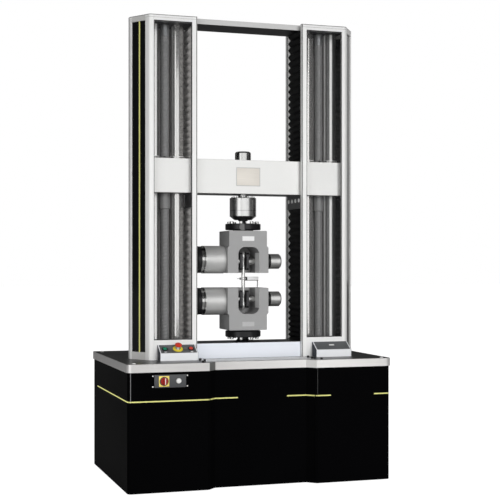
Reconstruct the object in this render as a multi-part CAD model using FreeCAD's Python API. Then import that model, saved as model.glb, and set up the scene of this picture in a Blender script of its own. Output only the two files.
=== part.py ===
import FreeCAD, Part
import math
import os

# A floor-standing compression and tension testing machine, in millimetres.
# X points right, Y to the back, Z up. Pieces are drawn with Y measured from the cabinet's middle, and
# save moves them so that the origin is on the floor, under the middle of the machine's overall box.
# The load frame stands in a plane of its own, in front of the cabinet's middle.

V = FreeCAD.Vector

# Whole machine
total_height = 2700.0
frame_y = -128.0

# Cabinet
cabinet_width = 1564.0
cabinet_depth = 1045.0
cabinet_top = 671.0
cabinet_corner_radius = 24.0
recess_half_width = 274.5
recess_run = 47.0
recess_depth = 48.0
panel_thick = 2.5
panel_ground_gap = 6.0
panel_seam = 1.0
seam_beside_recess = 4.0
side_seam_from_corner = 60.0
louvre_count = 9
louvre_length = 150.0
louvre_height = 6.0
louvre_pitch = 18.0
louvre_centre_x = 430.0
louvre_lowest_z = 380.0

# Table top
tray_height = 46.0
tray_overhang = 7.4
tray_sheet = 3.0
tray_edge_radius = 3.0

# Welded base frame and feet
tube_size = 60.0
tube_wall = 4.0
bottom_rail_z = 40.0
girder_height = 50.0
girder_clearance = 8.0
foot_radius = 27.0
foot_height = 14.0
stud_radius = 9.0
hole_clearance = 0.3

# Fixed and moving crossheads
base_beam_top = 805.0
base_beam_front = 125.0
base_beam_end_half_depth = 97.0
crosshead_bottom = 1682.0
crosshead_height = 200.0
crosshead_front = 106.0
crosshead_back = 98.0
crosshead_half_length = 604.0
crosshead_chamfer = 14.0
crosshead_edge_radius = 4.0
top_beam_thick = 31.0
top_beam_half_depth = 97.5
column_clearance = 1.0

# Column housings, measured from the load frame's plane and the machine's middle
column_inner_x = 322.0
column_half_depth = 146.0
column_corner_x = 604.0
column_outer_x = 694.0
outer_post_half_width = 16.0
inner_post_width = 28.0
front_post_depth = 24.0
back_post_depth = 26.0
post_corner_radius = 4.0
bellows_lip_width = 6.0
bellows_lip_depth = 14.0
corner_post_width = 22.0
corner_post_reach = 36.0
corner_post_thick = 22.0
corner_post_radius = 36.0
outer_post_reach = 14.0
outer_post_thick = 20.0
outer_post_radius = 9.0
side_panel_inset = 7.0
side_panel_thick = 3.0
window_stile = 3.0
window_thick = 4.0
window_inset = 5.0
top_rail_height = 33.0
window_sill_z = 831.0
side_foot_rail_height = 44.0
lid_thick = 8.0
rear_cover_thick = 2.0

# Guide columns, screws and what runs on them
inner_guide_x = 407.0
outer_guide_x = 557.0
guide_radius = 38.0
bush_wall = 4.0
bush_flange_width = 8.0
bush_flange_thick = 14.0
screw_x = 482.0
screw_radius = 27.0
screw_top_gap = 31.0
screw_journal_radius = 20.0
screw_clearance = 2.0
running_clearance = 0.05
nut_wall = 7.0
nut_length = 92.0
guide_socket_depth = 60.0
top_socket_depth = 20.0
bearing_radius = 36.0
bearing_height = 44.0
top_bearing_wall = 8.0
top_bearing_height = 36.0

# Belt drive in the cabinet
screw_pulley_radius = 62.0
motor_pulley_radius = 42.0
pulley_width = 46.0
pulley_flange = 7.0
pulley_flange_thick = 3.0
pulley_gap = 12.0
belt_thick = 5.0
belt_width = 38.0
belt_clearance = 0.3
motor_y = 190.0
motor_radius = 68.0
motor_length = 250.0
motor_plate_size = 170.0
motor_plate_thick = 14.0
motor_shaft_radius = 14.0
motor_shaft_clearance = 0.3

# Bellows
bellows_pitch = 44.0
bellows_sheet = 2.0
bellows_gap = 0.5
bracket_height = 80.0
bracket_thick = 5.0

# Load string above the upper grip
cap_radius = 48.0
cap_height = 58.0
cap_bevel = 10.0
cell_radius = 79.5
cell_gap = 19.0
cell_height = 131.0
cell_taper_height = 21.0
cell_taper_radius = 52.0
cell_neck_radius = 31.0
stem_radius = 28.5
stem_shank_radius = 16.0
stem_collar_height = 10.0

# Hydraulic grips, which face each other across the middle of the test space
grip_middle_z = 1171.0
grip_near = 44.0
grip_far = 294.0
grip_half_width = 126.5
grip_half_depth = 104.0
grip_shoulder_inset = 9.5
grip_shoulder_height = 100.0
grip_back_wall = 28.0
grip_edge_radius = 5.0
slot_centre_x = 4.0
slot_width = 129.0
slot_far = 198.0
slot_radius = 42.0
piston_offset = 113.0
rod_radius = 24.0
piston_radius = 38.0
piston_length = 22.0
jaw_stroke = 20.0
jaw_plate_thick = 15.0
jaw_plate_half_depth = 30.0
jaw_plate_half_height = 52.0
jaw_plate_radius = 14.0
jaw_tooth_pitch = 8.0
jaw_tooth_depth = 1.2
jaw_clearance = 0.3
barrel_rise = 10.0
barrel_radius = 82.0
barrel_length = 174.0
barrel_ring_width = 28.0
barrel_cap_width = 17.0
barrel_groove = 3.0
small_barrel_radius = 45.0
small_barrel_length = 106.0
small_barrel_bevel = 9.0
small_barrel_flange = 12.0
small_barrel_flange_radius = 68.0
flange_radius = 106.0
flange_gap = 7.0
flange_thick = 36.0
flange_neck_radius = 62.0
foot_neck_radius = 34.0
foot_flare_radius = 48.0

# Specimen and extensometer
specimen_x = 1.6
specimen_head_radius = 12.0
specimen_gauge_radius = 8.5
specimen_gauge_half = 34.0
specimen_blend = 12.0
specimen_half_length = 174.0
gauge_box_start = 22.0
gauge_box_length = 71.0
gauge_box_height = 23.0
gauge_box_half_depth = 17.0
gauge_box_bottom = 1169.0
gauge_arm_half = 2.0
gauge_support_radius = 2.5

# Control consoles
left_console_x = -447.5
right_console_x = 499.5
console_width = 221.0
console_depth = 71.0
console_front_height = 42.0
console_back_height = 87.0
console_sheet = 2.5
button_pitch = 77.0
button_radius = 11.0
button_head_height = 6.0
button_depth = 20.0
button_travel = 3.0
estop_neck_radius = 11.0
estop_head_radius = 20.0
estop_head_height = 14.0
estop_neck_height = 20.0
estop_travel = 4.0

# Main switch on the cabinet's front
switch_plate_x = -545.0
switch_plate_z = 620.5
switch_plate_width = 180.0
switch_plate_height = 71.0
switch_plate_thick = 3.0
switch_square = 58.0
switch_square_thick = 2.0
switch_knob_x = -580.6
switch_knob_radius = 20.5
switch_knob_height = 9.0
switch_grip_width = 9.0
switch_grip_height = 12.0
switch_shaft_radius = 5.0
switch_shaft_depth = 26.0
pilot_x = -497.0
pilot_radius = 14.5
pilot_height = 7.0
pilot_neck_radius = 10.5

# Places that follow from the sizes above
half_width = cabinet_width / 2
half_depth = cabinet_depth / 2
tray_top = cabinet_top + tray_height
tray_underside = tray_top - tray_sheet
crosshead_top = crosshead_bottom + crosshead_height
top_beam_bottom = total_height - top_beam_thick
rail_bottom = total_height - top_rail_height
window_inner_x = column_inner_x + inner_post_width
window_outer_x = column_corner_x - corner_post_width
guide_places = [-outer_guide_x, -inner_guide_x, inner_guide_x, outer_guide_x]
screw_places = {"left": -screw_x, "right": screw_x}
bracket_bottom = crosshead_bottom - bracket_height
screw_top_z = top_beam_bottom - screw_top_gap
cell_top = crosshead_bottom - cell_gap
cell_bottom = cell_top - cell_height
bellows_fold = inner_post_width - bellows_lip_width - 2 * column_clearance - bellows_sheet
belt_z = cabinet_top - bearing_height - pulley_gap - pulley_width / 2
switch_face_y = -half_depth - switch_plate_thick - switch_square_thick - hole_clearance
switch_reach = switch_knob_height + switch_grip_height - switch_face_y
origin_shift = (switch_reach - half_depth - tray_overhang) / 2


# Shape helpers
def block(x_range, y_range, z_range):
    size = [high - low for low, high in (x_range, y_range, z_range)]
    return Part.makeBox(*size, V(x_range[0], y_range[0], z_range[0]))


def rod_z(x, y, z_range, radius):
    return Part.makeCylinder(radius, z_range[1] - z_range[0], V(x, y, z_range[0]))


def rod_x(x_range, y, z, radius):
    return Part.makeCylinder(radius, x_range[1] - x_range[0], V(x_range[0], y, z), V(1, 0, 0))


def rounded_wire(points):
    """Closed wire through points given as x, y and corner radius. A radius is limited by its two edges."""
    edges = []
    count = len(points)
    arcs = []
    for index, (x, y, radius) in enumerate(points):
        here = V(x, y, 0)
        last = points[index - 1]
        following = points[(index + 1) % count]
        back = V(last[0], last[1], 0) - here
        ahead = V(following[0], following[1], 0) - here
        if not radius:
            arcs.append((here, None, here))
            continue
        half = back.getAngle(ahead) / 2
        back_share = 0.49 if last[2] else 0.98
        ahead_share = 0.49 if following[2] else 0.98
        reach = min(radius / math.tan(half), back_share * back.Length, ahead_share * ahead.Length)
        back.normalize()
        ahead.normalize()
        inward = back + ahead
        inward.normalize()
        to_arc = reach / math.cos(half) - reach * math.tan(half)
        arcs.append((here + back * reach, here + inward * to_arc, here + ahead * reach))
    for index, (start, middle, end) in enumerate(arcs):
        if middle is not None:
            edges.append(Part.Arc(start, middle, end).toShape())
        next_start = arcs[(index + 1) % count][0]
        if (next_start - end).Length > 1e-6:
            edges.append(Part.makeLine(end, next_start))
    return Part.Wire(edges)


def prism(points, low, high):
    """Upright solid over an outline in X and Y."""
    face = Part.Face(rounded_wire(points))
    solid = face.extrude(V(0, 0, high - low))
    solid.translate(V(0, 0, low))
    return solid


def prism_x(points, low, high):
    """Solid along X over an outline in Y and Z."""
    solid = prism(points, low, high)
    solid.rotate(V(0, 0, 0), V(1, 1, 1), 120)
    return solid


def prism_y(points, low, high):
    """Solid along Y over an outline in X and Z."""
    solid = prism(points, -high, -low)
    solid.rotate(V(0, 0, 0), V(1, 0, 0), 90)
    return solid


def turned(points, x, y):
    """Solid turned about an upright axis at x, y, from points given as radius and height."""
    corners = [V(radius, 0, z) for radius, z in points]
    wire = Part.makePolygon(corners + corners[:1])
    solid = Part.Face(wire).revolve(V(0, 0, 0), V(0, 0, 1), 360)
    solid.translate(V(x, y, 0))
    return solid


def turned_x(points, y, z):
    """Solid turned about an axis along X, from points given as x and radius."""
    solid = turned([(radius, x) for x, radius in points], 0, 0)
    solid.rotate(V(0, 0, 0), V(0, 1, 0), 90)
    solid.translate(V(0, y, z))
    return solid


def plain(points):
    """The same outline with sharp corners."""
    return [(x, y, 0) for x, y in points]


def mirrored(shape):
    return shape.mirror(V(0, 0, 0), V(1, 0, 0))


def at_frame(shape):
    """Move a shape drawn about the load frame's plane to its place."""
    moved = shape.copy()
    moved.translate(V(0, frame_y, 0))
    return moved


def both_sides(shape):
    """A right-hand column piece and its left-hand twin."""
    return [at_frame(mirrored(shape)), at_frame(shape)]


def joined(first, *others):
    return first.fuse(list(others)).removeSplitter()


def save(name, *shapes):
    group = shapes[0].copy() if len(shapes) == 1 else Part.makeCompound(list(shapes))
    group.translate(V(0, origin_shift, 0))
    group.exportStep(os.path.join("parts", name + ".step"))


os.makedirs("parts", exist_ok=True)


# Cabinet: one outline in plan, from which the panels, the tray and the frame take their places
def cabinet_outline(outward):
    """Plan of the cabinet, with a recessed middle at the front, moved outward by a distance."""
    side = half_width + outward
    back = half_depth + outward
    recess_y = -half_depth + recess_depth - outward
    slant = outward * (recess_run / (recess_depth + math.hypot(recess_run, recess_depth)))
    bulge_x = recess_half_width + recess_run - slant
    inner_x = recess_half_width - slant
    front_radius = max(cabinet_corner_radius + outward, 1.0)
    back_radius = max(panel_thick + outward, 0)
    return [
        (-side, -back, front_radius),
        (-bulge_x, -back, 0),
        (-inner_x, recess_y, 0),
        (inner_x, recess_y, 0),
        (bulge_x, -back, 0),
        (side, -back, front_radius),
        (side, back, back_radius),
        (-side, back, back_radius),
    ]


seam_x = recess_half_width + recess_run + seam_beside_recess
side_seam_y = -half_depth + side_seam_from_corner
rear_seam_y = half_depth - side_seam_from_corner
panel_z = (panel_ground_gap, cabinet_top)


def panel_wall():
    outside = prism(cabinet_outline(0), *panel_z)
    return outside.cut(prism(cabinet_outline(-panel_thick), *panel_z))


def louvres(x):
    """Slots with round ends, one above another, through the rear panel."""
    slots = []
    half_length = louvre_length / 2
    half_height = louvre_height / 2
    for index in range(louvre_count):
        z = louvre_lowest_z + index * louvre_pitch
        corners = [(x - half_length, z - half_height), (x + half_length, z - half_height),
                   (x + half_length, z + half_height), (x - half_length, z + half_height)]
        outline = [(corner_x, corner_z, 0.95 * half_height) for corner_x, corner_z in corners]
        slots.append(prism_y(outline, half_depth - 3 * panel_thick, half_depth + panel_thick))
    return slots


def cabinet_panels():
    wall = panel_wall()
    reach = (half_width + panel_thick, half_depth + panel_thick)
    gap = panel_seam / 2
    middle = wall.common(block((-seam_x + gap, seam_x - gap), (-reach[1], 0), panel_z))
    save("front_panel_center", middle)
    right = wall.common(block((seam_x + gap, reach[0]), (-reach[1], side_seam_y - gap), panel_z))
    bezel_hole = hole_clearance + pilot_neck_radius
    left = mirrored(right)
    for x, radius in ((switch_knob_x, switch_shaft_radius + hole_clearance), (pilot_x, bezel_hole)):
        left = left.cut(hole_y(x, switch_plate_z, radius, (-reach[1], -half_depth + 2 * panel_thick)))
    save("front_panel_left", left)
    save("front_panel_right", right)
    side = wall.common(block((seam_x, reach[0]), (side_seam_y + gap, rear_seam_y - gap), panel_z))
    save("side_panels", mirrored(side), side)
    rear = wall.common(block((-reach[0], reach[0]), (rear_seam_y + gap, reach[1]), panel_z))
    save("rear_panel", rear.cut(louvres(-louvre_centre_x) + louvres(louvre_centre_x)))


def hole_y(x, z, radius, y_range):
    return Part.makeCylinder(radius, y_range[1] - y_range[0], V(x, y_range[0], z), V(0, 1, 0))


def top_tray():
    """Stainless tray with a turned-down lip, open where the base beam stands."""
    tray = prism(cabinet_outline(tray_overhang), cabinet_top, tray_top)
    edges = [edge for edge in tray.Edges if edge.BoundBox.ZMin > tray_top - 0.001]
    tray = tray.makeFillet(tray_edge_radius, edges)
    hollow = prism(cabinet_outline(tray_overhang - tray_sheet), cabinet_top, tray_underside)
    opening = prism(base_beam_plan(column_clearance), cabinet_top, tray_top)
    save("top_tray", tray.cut([hollow, at_frame(opening)]))


# Base frame of square tubes, each its own solid, butted and welded
def tube(x_range, y_range, z_range, along):
    """Square tube whose bore runs along one axis, 0 for X, 1 for Y and 2 for Z."""
    ranges = [x_range, y_range, z_range]
    bore = [(low + tube_wall, high - tube_wall) for low, high in ranges]
    bore[along] = ranges[along]
    return block(*ranges).cut(block(*bore))


frame_side = half_width - panel_thick
frame_back = half_depth - panel_thick
frame_front = half_depth - recess_depth - panel_thick
frame_inside = frame_side - tube_size
bottom_level = (bottom_rail_z, bottom_rail_z + tube_size)
top_level = (tray_underside - tube_size, tray_underside)
side_places = [-frame_side + tube_size / 2, frame_side - tube_size / 2]
bridge_top = belt_z - pulley_width / 2 - pulley_gap
bridge_level = (bridge_top - motor_plate_thick, bridge_top)
girder_level = (cabinet_top - girder_height, cabinet_top)
girder_outer = base_beam_end_half_depth
girder_inner = bearing_radius + girder_clearance


def about(middle, size):
    return (middle - size / 2, middle + size / 2)


def frame_rails(level):
    """Front, rear and side rails at one level."""
    front = (-frame_front, -frame_front + tube_size)
    back = (frame_back - tube_size, frame_back)
    rails = [tube((-frame_side, frame_side), y_range, level, 0) for y_range in (front, back)]
    for x in side_places:
        rails.append(tube(about(x, tube_size), (front[1], back[0]), level, 1))
    return rails


def frame_posts():
    """Uprights at the corners, in the middle of front and back, and beside the motor."""
    front = -frame_front + tube_size / 2
    back = frame_back - tube_size / 2
    places = [(x, y) for x in side_places for y in (front, motor_y, back)]
    places += [(0.0, front), (0.0, back)]
    upright = (bottom_level[1], top_level[0])
    return [tube(about(x, tube_size), about(y, tube_size), upright, 2) for x, y in places]


def girders():
    """Two girders from side to side that carry the base beam, each on a leg at either end."""
    pieces = []
    for side in (-1, 1):
        y_range = sorted((frame_y + side * girder_inner, frame_y + side * girder_outer))
        pieces.append(block((-frame_inside, frame_inside), y_range, girder_level))
        for end in (-1, 1):
            x_range = sorted((end * frame_inside, end * (frame_inside - tube_size)))
            leg = tube(x_range, y_range, (bottom_rail_z, girder_level[0]), 2)
            sole = block(x_range, y_range, (bottom_rail_z, bottom_rail_z + tube_wall))
            pieces.append(joined(leg, sole))
    return pieces


def motor_bridge():
    """Plate between the middle uprights, which the motor hangs from."""
    plate = block((-frame_inside, frame_inside), about(motor_y, motor_plate_size), bridge_level)
    return plate.cut(rod_z(0, motor_y, bridge_level, motor_shaft_radius + hole_clearance))


def foot_places():
    corners = [(x, y) for x in side_places for y in (-frame_front + tube_size / 2, frame_back - tube_size / 2)]
    leg_x = frame_inside - tube_size / 2
    leg_y = (girder_inner + girder_outer) / 2
    legs = [(x, frame_y + y) for x in (-leg_x, leg_x) for y in (-leg_y, leg_y)]
    return corners + legs


def base_frame():
    pieces = frame_rails(bottom_level) + frame_rails(top_level) + frame_posts() + girders()
    pieces.append(motor_bridge())
    hole = (bottom_rail_z - tube_wall, bottom_rail_z + 2 * tube_wall)
    holes = Part.makeCompound([rod_z(x, y, hole, stud_radius + hole_clearance) for x, y in foot_places()])
    save("base_frame", *[piece.cut(holes) for piece in pieces])


def levelling_feet():
    """Turned pads, whose studs run up through the frame's lower walls."""
    feet = []
    stud_top = bottom_rail_z + tube_size / 2
    for x, y in foot_places():
        profile = [(0, 0), (foot_radius, 0), (foot_radius, foot_height / 2), (foot_radius / 2, foot_height),
                   (stud_radius, foot_height), (stud_radius, stud_top), (0, stud_top)]
        feet.append(turned(profile, x, y))
    save("levelling_feet", *feet)


# Load frame
def base_beam_plan(outward):
    """Plan of the base beam: deep between the columns, narrower inside them."""
    end = column_corner_x + outward
    neck = column_inner_x - column_clearance + outward
    front = -base_beam_front - outward
    ends = base_beam_end_half_depth + outward
    half = [(neck, front), (neck, -ends), (end, -ends), (end, ends), (neck, ends), (neck, -front)]
    return plain(half + [(-x, y) for x, y in reversed(half)])


def base_crosshead():
    level = (cabinet_top, base_beam_top)
    beam = prism(base_beam_plan(0), *level)
    bores = [rod_z(x, 0, (base_beam_top - guide_socket_depth, base_beam_top), guide_radius) for x in guide_places]
    bores += [rod_z(x, 0, level, screw_radius + screw_clearance) for x in screw_places.values()]
    save("base_crosshead", at_frame(beam.cut(bores)))


def guide_columns():
    reach = (base_beam_top - guide_socket_depth, top_beam_bottom + top_socket_depth)
    save("guide_columns", *[at_frame(rod_z(x, 0, reach, guide_radius)) for x in guide_places])


def top_beam():
    end = column_corner_x - column_clearance
    level = (top_beam_bottom, total_height)
    beam = block((-end, end), (-top_beam_half_depth, top_beam_half_depth), level)
    sockets = [rod_z(x, 0, (top_beam_bottom, top_beam_bottom + top_socket_depth), guide_radius) for x in guide_places]
    save("top_beam", at_frame(beam.cut(sockets)))


def crosshead():
    end = crosshead_half_length
    bevel = crosshead_chamfer
    front = -crosshead_front
    back = crosshead_back
    half = [(end - bevel, front), (end, front + bevel), (end, back - bevel), (end - bevel, back)]
    beam = prism(plain(half + [(-x, y) for x, y in reversed(half)]), crosshead_bottom, crosshead_top)
    long_edges = [edge for edge in beam.Edges if edge.Length > crosshead_half_length]
    beam = beam.makeFillet(crosshead_edge_radius, long_edges)
    level = (crosshead_bottom, crosshead_top)
    bores = [rod_z(x, 0, level, guide_radius + bush_wall) for x in guide_places]
    bores += [rod_z(x, 0, level, screw_radius + screw_clearance) for x in screw_places.values()]
    save("crosshead", at_frame(beam.cut(bores)))


def guide_bushes():
    bushes = []
    inner = guide_radius + running_clearance
    outer = guide_radius + bush_wall
    rim = outer + bush_flange_width - bush_wall
    top = crosshead_top + bush_flange_thick
    for x in guide_places:
        profile = [(inner, crosshead_bottom), (outer, crosshead_bottom), (outer, crosshead_top),
                   (rim, crosshead_top), (rim, top - 2), (rim - 2, top), (inner, top)]
        bushes.append(at_frame(turned(profile, x, 0)))
    save("guide_bushes", *bushes)


def ball_nuts():
    """Nuts bolted under the crosshead, with a collar that seats on it."""
    nuts = []
    inner = screw_radius + running_clearance
    outer = screw_radius + nut_wall
    bottom = crosshead_bottom - nut_length
    for x in screw_places.values():
        profile = [(inner, bottom), (outer - 4, bottom), (outer, bottom + 4), (outer, crosshead_bottom),
                   (inner, crosshead_bottom)]
        nuts.append(at_frame(turned(profile, x, 0)))
    save("ball_nuts", *nuts)


def ball_screws():
    shoulder = cabinet_top
    foot = belt_z - pulley_width / 2 - pulley_flange
    for side, x in screw_places.items():
        profile = [(0, foot), (screw_journal_radius, foot), (screw_journal_radius, shoulder),
                   (screw_radius, shoulder), (screw_radius, screw_top_z - top_bearing_height),
                   (screw_journal_radius, screw_top_z - top_bearing_height), (screw_journal_radius, screw_top_z),
                   (0, screw_top_z)]
        save(side + "_ball_screw", at_frame(turned(profile, x, 0)))


def bearing(x, level, bore, outer):
    shell = rod_z(x, 0, level, outer).cut(rod_z(x, 0, level, bore + running_clearance))
    edges = [edge for edge in shell.Edges if edge.BoundBox.XLength > 2 * outer - 1]
    return at_frame(shell.makeChamfer(2.0, edges))


def screw_bearings():
    """Lower bearings bolted under the base beam, and upper ones hung from the top beam."""
    pieces = []
    lower = (cabinet_top - bearing_height, cabinet_top)
    upper = (screw_top_z - top_bearing_height, top_beam_bottom)
    top_radius = screw_journal_radius + top_bearing_wall
    for x in screw_places.values():
        pieces.append(bearing(x, lower, screw_journal_radius, bearing_radius))
        pieces.append(bearing(x, upper, screw_journal_radius, top_radius))
    save("screw_bearings", *pieces)


# Column housings, drawn for the right-hand column and mirrored for the left
slant = V(column_outer_x - column_corner_x, column_half_depth - outer_post_half_width, 0)
slant_length = slant.Length
slant_along = V(slant.x / slant_length, slant.y / slant_length, 0)
slant_inward = V(-slant_along.y, slant_along.x, 0)
column_corner = V(column_corner_x, -column_half_depth, 0)


def on_slant(distance, depth):
    """Point at a distance back from the column's corner, and at a depth inside its slanted side."""
    point = column_corner + slant_along * distance + slant_inward * depth
    return (point.x, point.y)


def front_to_back(shape):
    return shape.mirror(V(0, 0, 0), V(0, 1, 0))


def inner_posts():
    """Inner posts, the front one with a lip beside the bellows."""
    front = -column_half_depth
    inner_x = column_inner_x
    wide = inner_x + inner_post_width
    step = front + front_post_depth
    radius = post_corner_radius
    lip = wide - bellows_lip_width
    front_post = [(inner_x, front, radius), (wide, front, 1), (wide, step + bellows_lip_depth, 1),
                  (lip, step + bellows_lip_depth, 1), (lip, step, 1), (inner_x, step, 1)]
    back = column_half_depth
    back_post = [(inner_x, back - back_post_depth, 1), (wide, back - back_post_depth, 1), (wide, back, 1),
                 (inner_x, back, radius)]
    return [prism(front_post, tray_top, total_height), prism(back_post, tray_top, total_height)]


def corner_post():
    """Extruded corner post with a broad rounded edge that stands proud of the side panel."""
    front = -column_half_depth
    inner = front + corner_post_thick
    meeting = on_slant(0, corner_post_thick)
    along = (inner - meeting[1]) / slant_along.y
    inner_corner = (meeting[0] + along * slant_along.x, inner)
    end_out = on_slant(corner_post_reach, 0)
    end_in = on_slant(corner_post_reach, corner_post_thick)
    outline = [(window_outer_x, front, 2), (column_corner_x, front, corner_post_radius), (*end_out, 2),
               (*end_in, 1), (*inner_corner, 0), (window_outer_x, inner, 1)]
    return prism(outline, tray_top, total_height)


def outer_post():
    """Post at the column's outer edge, between its front and rear side panels."""
    start_out = on_slant(slant_length - outer_post_reach, 0)
    start_in = on_slant(slant_length - outer_post_reach, outer_post_thick)
    half = [(*start_out, 2), (column_outer_x, -outer_post_half_width, outer_post_radius)]
    back = [(x, -y, radius) for x, y, radius in reversed(half)]
    outline = half + back + [(start_in[0], -start_in[1], 1), (*start_in, 1)]
    return prism(outline, tray_top, total_height)


def column_posts():
    corner = corner_post()
    posts = inner_posts() + [corner, front_to_back(corner), outer_post()]
    save("left_column_posts", *[at_frame(mirrored(post)) for post in posts])
    save("right_column_posts", *[at_frame(post) for post in posts])


def slanted_bar(start, end, shallow, deep, level):
    """Upright sheet or bar in the column's slanted side, at a depth inside its face."""
    corners = [on_slant(start, shallow), on_slant(end, shallow), on_slant(end, deep), on_slant(start, deep)]
    return prism(plain(corners), *level)


def column_side_panels():
    level = (tray_top + side_foot_rail_height, rail_bottom)
    front = slanted_bar(corner_post_reach, slant_length - outer_post_reach, side_panel_inset,
                        side_panel_inset + side_panel_thick, level)
    save("column_side_panels", *both_sides(front), *both_sides(front_to_back(front)))


def column_rear_covers():
    level = (tray_top + side_foot_rail_height, rail_bottom)
    y_range = (column_half_depth - window_inset - rear_cover_thick, column_half_depth - window_inset)
    cover = block((window_inner_x, window_outer_x), y_range, level)
    save("column_rear_covers", *both_sides(cover))


def window_frames():
    """Aluminium frame of each front window: two stiles, a head and a sill panel."""
    front = -column_half_depth
    outside = block((window_inner_x, window_outer_x), (front + 1, front + front_post_depth - 2), (tray_top, total_height))
    clear = (window_inner_x + window_stile, window_outer_x - window_stile)
    hole = block(clear, (front, front + front_post_depth), (window_sill_z, rail_bottom))
    save("window_frames", *both_sides(outside.cut(hole)))


def column_windows():
    clear = (window_inner_x + window_stile, window_outer_x - window_stile)
    front = -column_half_depth + window_inset
    pane = block(clear, (front, front + window_thick), (window_sill_z, rail_bottom))
    save("column_windows", *both_sides(pane))


def column_end_frames():
    """Rails between the posts at the foot and head of each column, with a lid round the top beam."""
    sides = []
    inner = -column_half_depth + corner_post_thick
    deep = corner_post_thick
    rail_end = slant_length - outer_post_reach
    for level in ((tray_top, tray_top + side_foot_rail_height), (rail_bottom, total_height)):
        front_bar = slanted_bar(corner_post_reach, rail_end, 1, deep, level)
        rear_bar = block((window_inner_x, window_outer_x), (-inner, column_half_depth - 1), level)
        sides.append([front_bar, front_to_back(front_bar), rear_bar])
    start = on_slant(corner_post_reach, deep)
    end = on_slant(rail_end, deep)
    half = [(window_inner_x, -column_half_depth + front_post_depth), (window_outer_x, inner), start, end]
    lid = prism(plain(half + [(x, -y) for x, y in reversed(half)]), total_height - lid_thick, total_height)
    beam_room = block((0, column_corner_x), (-top_beam_half_depth - column_clearance,
                      top_beam_half_depth + column_clearance), (top_beam_bottom, total_height))
    lip_room = block((window_inner_x - column_clearance, window_inner_x), (-column_half_depth, 0),
                     (top_beam_bottom, total_height))
    lid = joined(lid.cut([beam_room, lip_room]), *sides[1])
    pieces = []
    for piece in sides[0] + [lid]:
        pieces += both_sides(piece)
    save("column_end_frames", *pieces)


# Bellows between the inner posts, above and below the crosshead
def folded_sheet(low, high):
    """Accordion-folded sheet between two heights, for the right-hand column."""
    folds = max(2, round((high - low) / bellows_pitch))
    step = (high - low) / (2 * folds)
    crest = column_inner_x + column_clearance
    line = [(crest + bellows_fold * (index % 2), low + index * step) for index in range(2 * folds + 1)]
    back = [(x + bellows_sheet, z) for x, z in reversed(line)]
    y_range = (-column_half_depth + front_post_depth + column_clearance,
               column_half_depth - back_post_depth - column_clearance)
    return prism_y(plain(line + back), *y_range)


def bellows():
    spans = {"lower": (base_beam_top + bellows_gap, bracket_bottom - bellows_gap),
             "upper": (crosshead_top + bellows_gap, top_beam_bottom - bellows_gap)}
    for level, span in spans.items():
        left, right = both_sides(folded_sheet(*span))
        save("left_" + level + "_bellows", left)
        save("right_" + level + "_bellows", right)


def bellows_brackets():
    start = column_inner_x + 2 * column_clearance
    y_range = (-column_half_depth + front_post_depth + column_clearance,
               column_half_depth - back_post_depth - column_clearance)
    plate = block((start, start + bracket_thick), y_range, (bracket_bottom, crosshead_bottom))
    hook = block((start, start + bellows_fold - bracket_thick), y_range, (bracket_bottom, bracket_bottom + bracket_thick))
    save("bellows_brackets", *both_sides(joined(plate, hook)))


# Load string
def crosshead_cap():
    top = crosshead_top + cap_height
    profile = [(0, crosshead_top), (cap_radius, crosshead_top), (cap_radius, top - cap_bevel),
               (cap_radius - cap_bevel / 3, top - cap_bevel / 3), (cap_radius - cap_bevel, top), (0, top)]
    save("crosshead_cap", at_frame(turned(profile, 0, 0)))


def load_cell():
    taper_top = cell_bottom + cell_taper_height
    profile = [(0, cell_bottom), (cell_taper_radius, cell_bottom), (cell_radius, taper_top),
               (cell_radius, cell_top - 3), (cell_radius - 3, cell_top), (cell_neck_radius, cell_top),
               (cell_neck_radius, crosshead_bottom), (0, crosshead_bottom)]
    save("load_cell", at_frame(turned(profile, 0, 0)))


def grip_height(distance):
    """Height of a plane at a distance above the middle of the test space, for the upper grip."""
    return grip_middle_z + distance


flange_low = grip_height(grip_far + flange_gap)
flange_high = flange_low + flange_thick


def upper_grip_stem():
    collar = cell_bottom - stem_collar_height
    profile = [(0, flange_high), (stem_shank_radius, flange_high), (stem_shank_radius, collar),
               (stem_radius, collar + 4), (stem_radius, cell_bottom), (0, cell_bottom)]
    save("upper_grip_stem", at_frame(turned(profile, 0, 0)))


def lower_grip_foot():
    """Flared foot between the base beam and the lower grip's flange."""
    top = 2 * grip_middle_z - flange_high
    middle = (base_beam_top + top) / 2
    profile = [(0, base_beam_top), (foot_flare_radius, base_beam_top), (foot_neck_radius, middle),
               (foot_neck_radius, top), (0, top)]
    save("lower_grip_foot", at_frame(turned(profile, 0, 0)))


def grip_flange():
    seat = grip_height(grip_far)
    profile = [(0, seat), (flange_neck_radius, seat), (flange_neck_radius, flange_low),
               (flange_radius - 3, flange_low), (flange_radius, flange_low + 3), (flange_radius, flange_high - 3),
               (flange_radius - 3, flange_high), (0, flange_high)]
    return turned(profile, 0, 0)


def grip_body():
    """Grip housing with an arched pocket, closed by a back wall, and bores for the pistons' rods."""
    near = grip_height(grip_near)
    far = grip_height(grip_far)
    waist = far - grip_shoulder_height
    wide = grip_half_width
    narrow = grip_half_width - grip_shoulder_inset
    outline = [(-wide, near, 3), (wide, near, 3), (wide, waist, 1), (narrow, waist + grip_shoulder_inset, 1),
               (narrow, far, grip_edge_radius), (-narrow, far, grip_edge_radius),
               (-narrow, waist + grip_shoulder_inset, 1), (-wide, waist, 1)]
    body = prism_y(outline, -grip_half_depth, grip_half_depth)
    left = slot_centre_x - slot_width / 2
    right = slot_centre_x + slot_width / 2
    mouth = near - 20
    arch = grip_height(slot_far)
    slot = prism_y([(left, mouth, 0), (right, mouth, 0), (right, arch, slot_radius), (left, arch, slot_radius)],
                   -2 * grip_half_depth, grip_half_depth - grip_back_wall)
    bore = rod_x((-2 * wide, 2 * wide), 0, grip_height(piston_offset), rod_radius + running_clearance)
    return body.cut([slot, bore])


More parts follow.
